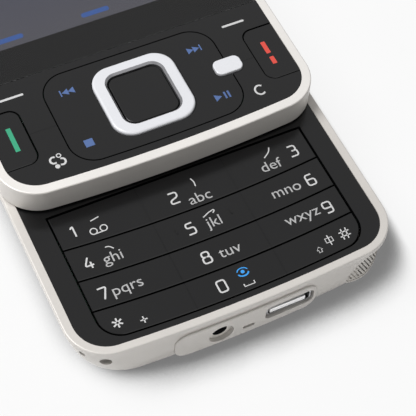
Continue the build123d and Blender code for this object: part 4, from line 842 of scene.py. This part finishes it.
@dataclass
class FrontPrint:
    """Print on the keys of the sliding half. Places and sizes are in millimetres."""

    level: float = 17.6
    dash: Place = (19.95, -17.5)
    dash_size: Place = (4.1, 0.42)
    dash_corner: float = 0.19
    call_x: float = 22.7
    call_wide: float = 0.78
    low_row: float = -32.1  # y of the menu and clear signs
    media_row: float = -30.8  # y of the stop and play signs

    def build(self) -> None:
        """Print the dashes, call marks, clear and menu signs and the media signs."""
        x, y = self.dash
        for side, key in ((-1, "soft_key_left"), (1, "soft_key_right")):
            sheet = Print(self.level)
            sheet.bar(side * x, y, *self.dash_size, round_to=self.dash_corner)
            sheet.lay(f"print_{key}", key, INK)
        self._call_marks()
        sheet = Print(self.level)
        sheet.arc(17.85, self.low_row, 0.85, 50, 310, 0.34, tall=1.1)
        sheet.lay("print_clear", "clear_key", INK)
        self._menu_sign()
        self._media_signs()

    def _call_marks(self) -> None:
        """Print the green mark of the call key and the broken red one of the end key."""
        for name, x, marks, rounding, ink in (
            ("call", -self.call_x, ((-25.5, 4.85),), 0.06, GREEN_INK),
            ("end", self.call_x, ((-24.4, 2.6), (-27.3, 1.6)), 0.12, RED_INK),
        ):
            sheet = Print(self.level)
            for y, height in marks:
                sheet.bar(x, y, self.call_wide, height, round_to=rounding)
            sheet.lay(f"print_{name}", f"{name}_key", ink)

    def _menu_sign(self) -> None:
        """Print the menu sign: two hooks, with a ring above and a dot below."""
        sheet, x, y = Print(self.level), -17.7, self.low_row
        sheet.arc(x - 0.55, y + 0.35, 0.62, 60, 290, 0.36)
        sheet.arc(x + 0.5, y - 0.3, 0.62, -125, 90, 0.36)
        sheet.arc(x + 0.45, y + 0.95, 0.34, 0, 360, 0.2)
        sheet.dot(x - 0.45, y - 0.95, 0.4)
        sheet.lay("print_menu", "menu_key", INK)

    def _media_signs(self) -> None:
        """Print back, forward, stop and play signs on the media panel."""
        sheet = Print(self.level)
        for side, x, y in ((-1, -11.4, -19.9), (1, 11.7, -20.0)):
            turn = 0 if side > 0 else 180
            sheet.wedge(x - side * 0.85, y, 1.1, 1.3, turn)
            sheet.wedge(x + side * 0.2, y, 1.1, 1.3, turn)
            sheet.bar(x + side * 0.95, y, 0.22, 1.3)
        sheet.bar(-11.9, self.media_row, 1.5, 1.45)
        sheet.wedge(10.9, self.media_row, 1.25, 1.4)
        for x in (12.1, 12.75):
            sheet.bar(x, self.media_row, 0.32, 1.4)
        sheet.lay("print_media", "media_panel", BLUE_INK)


@dataclass
class Screen:
    """The lit picture under the display window. Places and sizes are in millimetres."""

    low_y: float = -6.75
    width: float = 42.8
    height: float = 57.0
    level: float = 16.45
    thick: float = 0.02
    tuck: float = 0.6  # added to its width and height, under the window's border
    lit: float = 1.35
    polish: float = 0.3
    drift_cells: float = 40  # per metre
    drift_share: float = 0.12
    sky: tuple[tuple[float, tuple[int, int, int]], ...] = (
        (0.0, (66, 64, 74)), (0.06, (108, 107, 118)), (0.45, (92, 96, 120)), (1.0, (60, 70, 104)),
    )
    bars: int = 5  # in the signal sign and in the charge sign
    bars_x: float = 19.5  # of the outer ones
    bars_down: float = 3.6  # from the top edge to their feet
    labels: tuple[Place, ...] = ((-16.4, 6.6), (0.0, 5.0), (16.6, 5.6))  # x and width
    labels_up: float = 1.9
    clock_down: float = 12.0
    clock_size: float = 9.0

    def build(self) -> None:
        """Make the picture and the plain signs on it."""
        self._picture()
        self._signs()

    def _picture(self) -> None:
        """Lay a thin lit sheet on the display module."""
        middle = (0, self.low_y + self.height / 2, self.level + self.thick / 2)
        sheet = Bench.block(middle, (self.width + self.tuck, self.height + self.tuck, self.thick))
        Bench.dress(sheet, "screen_picture", "slider", self._glow(), slot="screen")

    def _glow(self) -> bpy.types.Material:
        """Build the picture's light: a grey-lilac sky that darkens upwards.

        Returns:
            The material.
        """
        made = bpy.data.materials.new("screen_glow")
        made.use_nodes = True
        nodes, links = made.node_tree.nodes, made.node_tree.links
        shader = nodes["Principled BSDF"]
        shader.inputs["Roughness"].default_value = self.polish
        shader.inputs["Emission Strength"].default_value = self.lit
        place = nodes.new("ShaderNodeTexCoord")
        split = nodes.new("ShaderNodeSeparateXYZ")
        along = nodes.new("ShaderNodeMapRange")
        along.inputs["From Min"].default_value = self.low_y * MM
        along.inputs["From Max"].default_value = (self.low_y + self.height) * MM
        drift = nodes.new("ShaderNodeTexNoise")
        drift.inputs["Scale"].default_value = self.drift_cells
        mix = nodes.new("ShaderNodeMath")
        mix.operation = "MULTIPLY_ADD"
        mix.inputs[1].default_value = self.drift_share
        ramp = nodes.new("ShaderNodeValToRGB")
        elements = ramp.color_ramp.elements
        for stop, (position, colour) in zip(elements, (self.sky[0], self.sky[-1])):
            stop.position, stop.color = position, linear(*colour)
        for position, colour in self.sky[1:-1]:
            elements.new(position).color = linear(*colour)
        links.new(place.outputs["Object"], split.inputs["Vector"])
        links.new(place.outputs["Object"], drift.inputs["Vector"])
        links.new(split.outputs["Y"], along.inputs["Value"])
        links.new(drift.outputs["Fac"], mix.inputs[0])
        links.new(along.outputs["Result"], mix.inputs[2])
        links.new(mix.outputs["Value"], ramp.inputs["Fac"])
        links.new(ramp.outputs["Color"], shader.inputs["Base Color"])
        links.new(ramp.outputs["Color"], shader.inputs["Emission Color"])
        return made

    def _signs(self) -> None:
        """Lay plain signs on the picture: signal and charge bars, label bars and a clock."""
        sheet = Print(self.level + self.thick)
        top = self.low_y + self.height
        for index in range(self.bars):
            tall = 0.8 + 0.5 * index
            for side in (-1, 1):
                sheet.bar(side * (self.bars_x - index), top - self.bars_down + tall / 2, 0.6, tall)
        for x, width in self.labels:
            sheet.bar(x, self.low_y + self.labels_up, width, 1.0, round_to=0.4)
        sheet.text("12:45", 0, top - self.clock_down, self.clock_size)
        sheet.lay("screen_signs", "slider", SCREEN_BLUE, slot="screen")


@dataclass
class Studio:
    """Floor, lamps, sky and camera. Places are in metres, angles in degrees, lens and sensor in millimetres."""

    lens: float = 116.01
    azimuth: float = -29.215
    elevation: float = 56.458
    roll: float = 4.445
    distance: float = 0.212661
    target: tuple[float, float, float] = (0.001676, -0.046591, 0.0124)
    sensor: float = 36.0
    clip: tuple[float, float] = (0.005, 20.0)
    sky_light: float = 0.25
    sky_seen: float = 0.97  # what the camera, reflections and panes see
    floor_side: float = 6.0
    floor_rough: float = 0.9
    floor_gloss: float = 0.1
    floor_white: float = 0.93  # colour that lights the object
    floor_lit: float = 0.07  # colour that the lamps tint where the camera looks
    floor_tone: float = 0.875  # added where the camera looks
    shadow_tone: float = 0.18  # the same inside the shadow
    shadow_reach: float = 0.0098  # how far from the object it starts
    shadow_lean: tuple[float, float, float] = (-0.74, -0.44, 0.50)  # the way its open side faces
    shadow_stops: tuple[float, float] = (0.76, 0.97)  # open shares where it is full and where it ends
    shadow_samples: int = 32
    lamps: tuple[tuple[str, tuple[float, float, float], float, float], ...] = (
        ("key_lamp", (-0.30, 0.10, 0.58), 0.34, 4.6),
        ("fill_lamp", (0.05, -0.60, 0.40), 0.50, 0.5),
    )

    def build(self) -> None:
        """Set the studio up."""
        self._camera()
        self._floor()
        self._sky()
        for lamp in self.lamps:
            self._lamp(*lamp)
        bpy.context.scene.view_settings.view_transform = "Standard"

    def _camera(self) -> None:
        """Place the camera."""
        azimuth, elevation, roll = (math.radians(v) for v in (self.azimuth, self.elevation, self.roll))
        level = math.cos(elevation)
        back = Vector((math.sin(azimuth) * level, -math.cos(azimuth) * level, math.sin(elevation)))
        right = (-back).cross(Vector((0, 0, 1))).normalized()
        up = right.cross(-back)
        right_rolled = math.cos(roll) * right + math.sin(roll) * up
        up_rolled = -math.sin(roll) * right + math.cos(roll) * up
        data = bpy.data.cameras.new("camera")
        data.lens, data.sensor_width = self.lens, self.sensor
        data.clip_start, data.clip_end = self.clip
        camera = bpy.data.objects.new("camera", data)
        bpy.context.scene.collection.objects.link(camera)
        turn = Matrix((right_rolled, up_rolled, back)).transposed().to_4x4()
        camera.matrix_world = Matrix.Translation(Vector(self.target) + back * self.distance) @ turn
        bpy.context.scene.camera = camera

    def _floor(self) -> None:
        """Lay the pale floor."""
        Bench.clear()
        bpy.ops.mesh.primitive_plane_add(size=self.floor_side, location=(0, 0, 0))
        floor = bpy.context.object
        floor.name = "floor"
        floor.data.materials.append(self._floor_material())

    def _floor_material(self) -> bpy.types.Material:
        """Build the floor's material: nearly white to the camera, with the object's own shadow close round it.

        Returns:
            The material.
        """
        made = bpy.data.materials.new("floor")
        made.use_nodes = True
        nodes, links = made.node_tree.nodes, made.node_tree.links
        shader = nodes["Principled BSDF"]
        shader.inputs["Roughness"].default_value = self.floor_rough
        shader.inputs["Specular IOR Level"].default_value = self.floor_gloss
        near = nodes.new("ShaderNodeAmbientOcclusion")
        near.samples = self.shadow_samples
        near.inputs["Distance"].default_value = self.shadow_reach
        lean = nodes.new("ShaderNodeCombineXYZ")
        for axis, share in zip("XYZ", self.shadow_lean):
            lean.inputs[axis].default_value = share
        links.new(lean.outputs["Vector"], near.inputs["Normal"])
        shade = nodes.new("ShaderNodeValToRGB")
        shade.color_ramp.interpolation = "EASE"
        tones = (self.shadow_tone, self.floor_tone)
        for stop, position, tone in zip(shade.color_ramp.elements, self.shadow_stops, tones):
            stop.position, stop.color = position, (tone, tone, tone, 1)
        path = nodes.new("ShaderNodeLightPath")
        own = nodes.new("ShaderNodeMapRange")
        own.inputs["To Min"].default_value = self.floor_white
        own.inputs["To Max"].default_value = self.floor_lit
        links.new(near.outputs["AO"], shade.inputs["Fac"])
        links.new(path.outputs["Is Camera Ray"], own.inputs["Value"])
        links.new(own.outputs["Result"], shader.inputs["Base Color"])
        links.new(shade.outputs["Color"], shader.inputs["Emission Color"])
        links.new(path.outputs["Is Camera Ray"], shader.inputs["Emission Strength"])
        return made

    def _sky(self) -> None:
        """Surround the scene with soft white, plain white where the camera or a reflection sees it."""
        world = bpy.data.worlds.new("sky")
        bpy.context.scene.world = world
        world.use_nodes = True
        nodes, links = world.node_tree.nodes, world.node_tree.links
        nodes.clear()
        out = nodes.new("ShaderNodeOutputWorld")
        soft = nodes.new("ShaderNodeBackground")
        soft.inputs["Color"].default_value = (1, 1, 1, 1)
        soft.inputs["Strength"].default_value = self.sky_light
        plain = nodes.new("ShaderNodeBackground")
        plain.inputs["Color"].default_value = (self.sky_seen, self.sky_seen, self.sky_seen, 1)
        plain.inputs["Strength"].default_value = 1.0
        path = nodes.new("ShaderNodeLightPath")
        mix = nodes.new("ShaderNodeMixShader")
        seen = nodes.new("ShaderNodeMath")
        seen.operation = "MAXIMUM"
        through = nodes.new("ShaderNodeMath")
        through.operation = "MAXIMUM"
        links.new(path.outputs["Is Camera Ray"], seen.inputs[0])
        links.new(path.outputs["Is Glossy Ray"], seen.inputs[1])
        links.new(seen.outputs["Value"], through.inputs[0])
        links.new(path.outputs["Is Transmission Ray"], through.inputs[1])
        links.new(through.outputs["Value"], mix.inputs["Fac"])
        links.new(soft.outputs["Background"], mix.inputs[1])
        links.new(plain.outputs["Background"], mix.inputs[2])
        links.new(mix.outputs["Shader"], out.inputs["Surface"])

    def _lamp(self, name: str, place: tuple[float, float, float], size: float, power: float) -> None:
        """Hang a square lamp that faces the object.

        Args:
            name: the lamp's name.
            place: where it hangs, in metres.
            size: its side in metres.
            power: in watts.
        """
        data = bpy.data.lights.new(name, "AREA")
        data.shape, data.size, data.energy = "SQUARE", size, power
        lamp = bpy.data.objects.new(name, data)
        bpy.context.scene.collection.objects.link(lamp)
        lamp.location = place
        lamp.rotation_euler = (Vector(self.target) - Vector(place)).to_track_quat("-Z", "Y").to_euler()


def main() -> None:
    """Build the looks in order."""
    logging.basicConfig(level=logging.INFO, format="%(name)s: %(message)s")
    Studio().build()
    Shells().dress()
    Contacts().build()
    Ribbon().build()
    NumberKeys().build()
    FrontPrint().build()
    Screen().build()


if __name__ == "__main__":
    main()
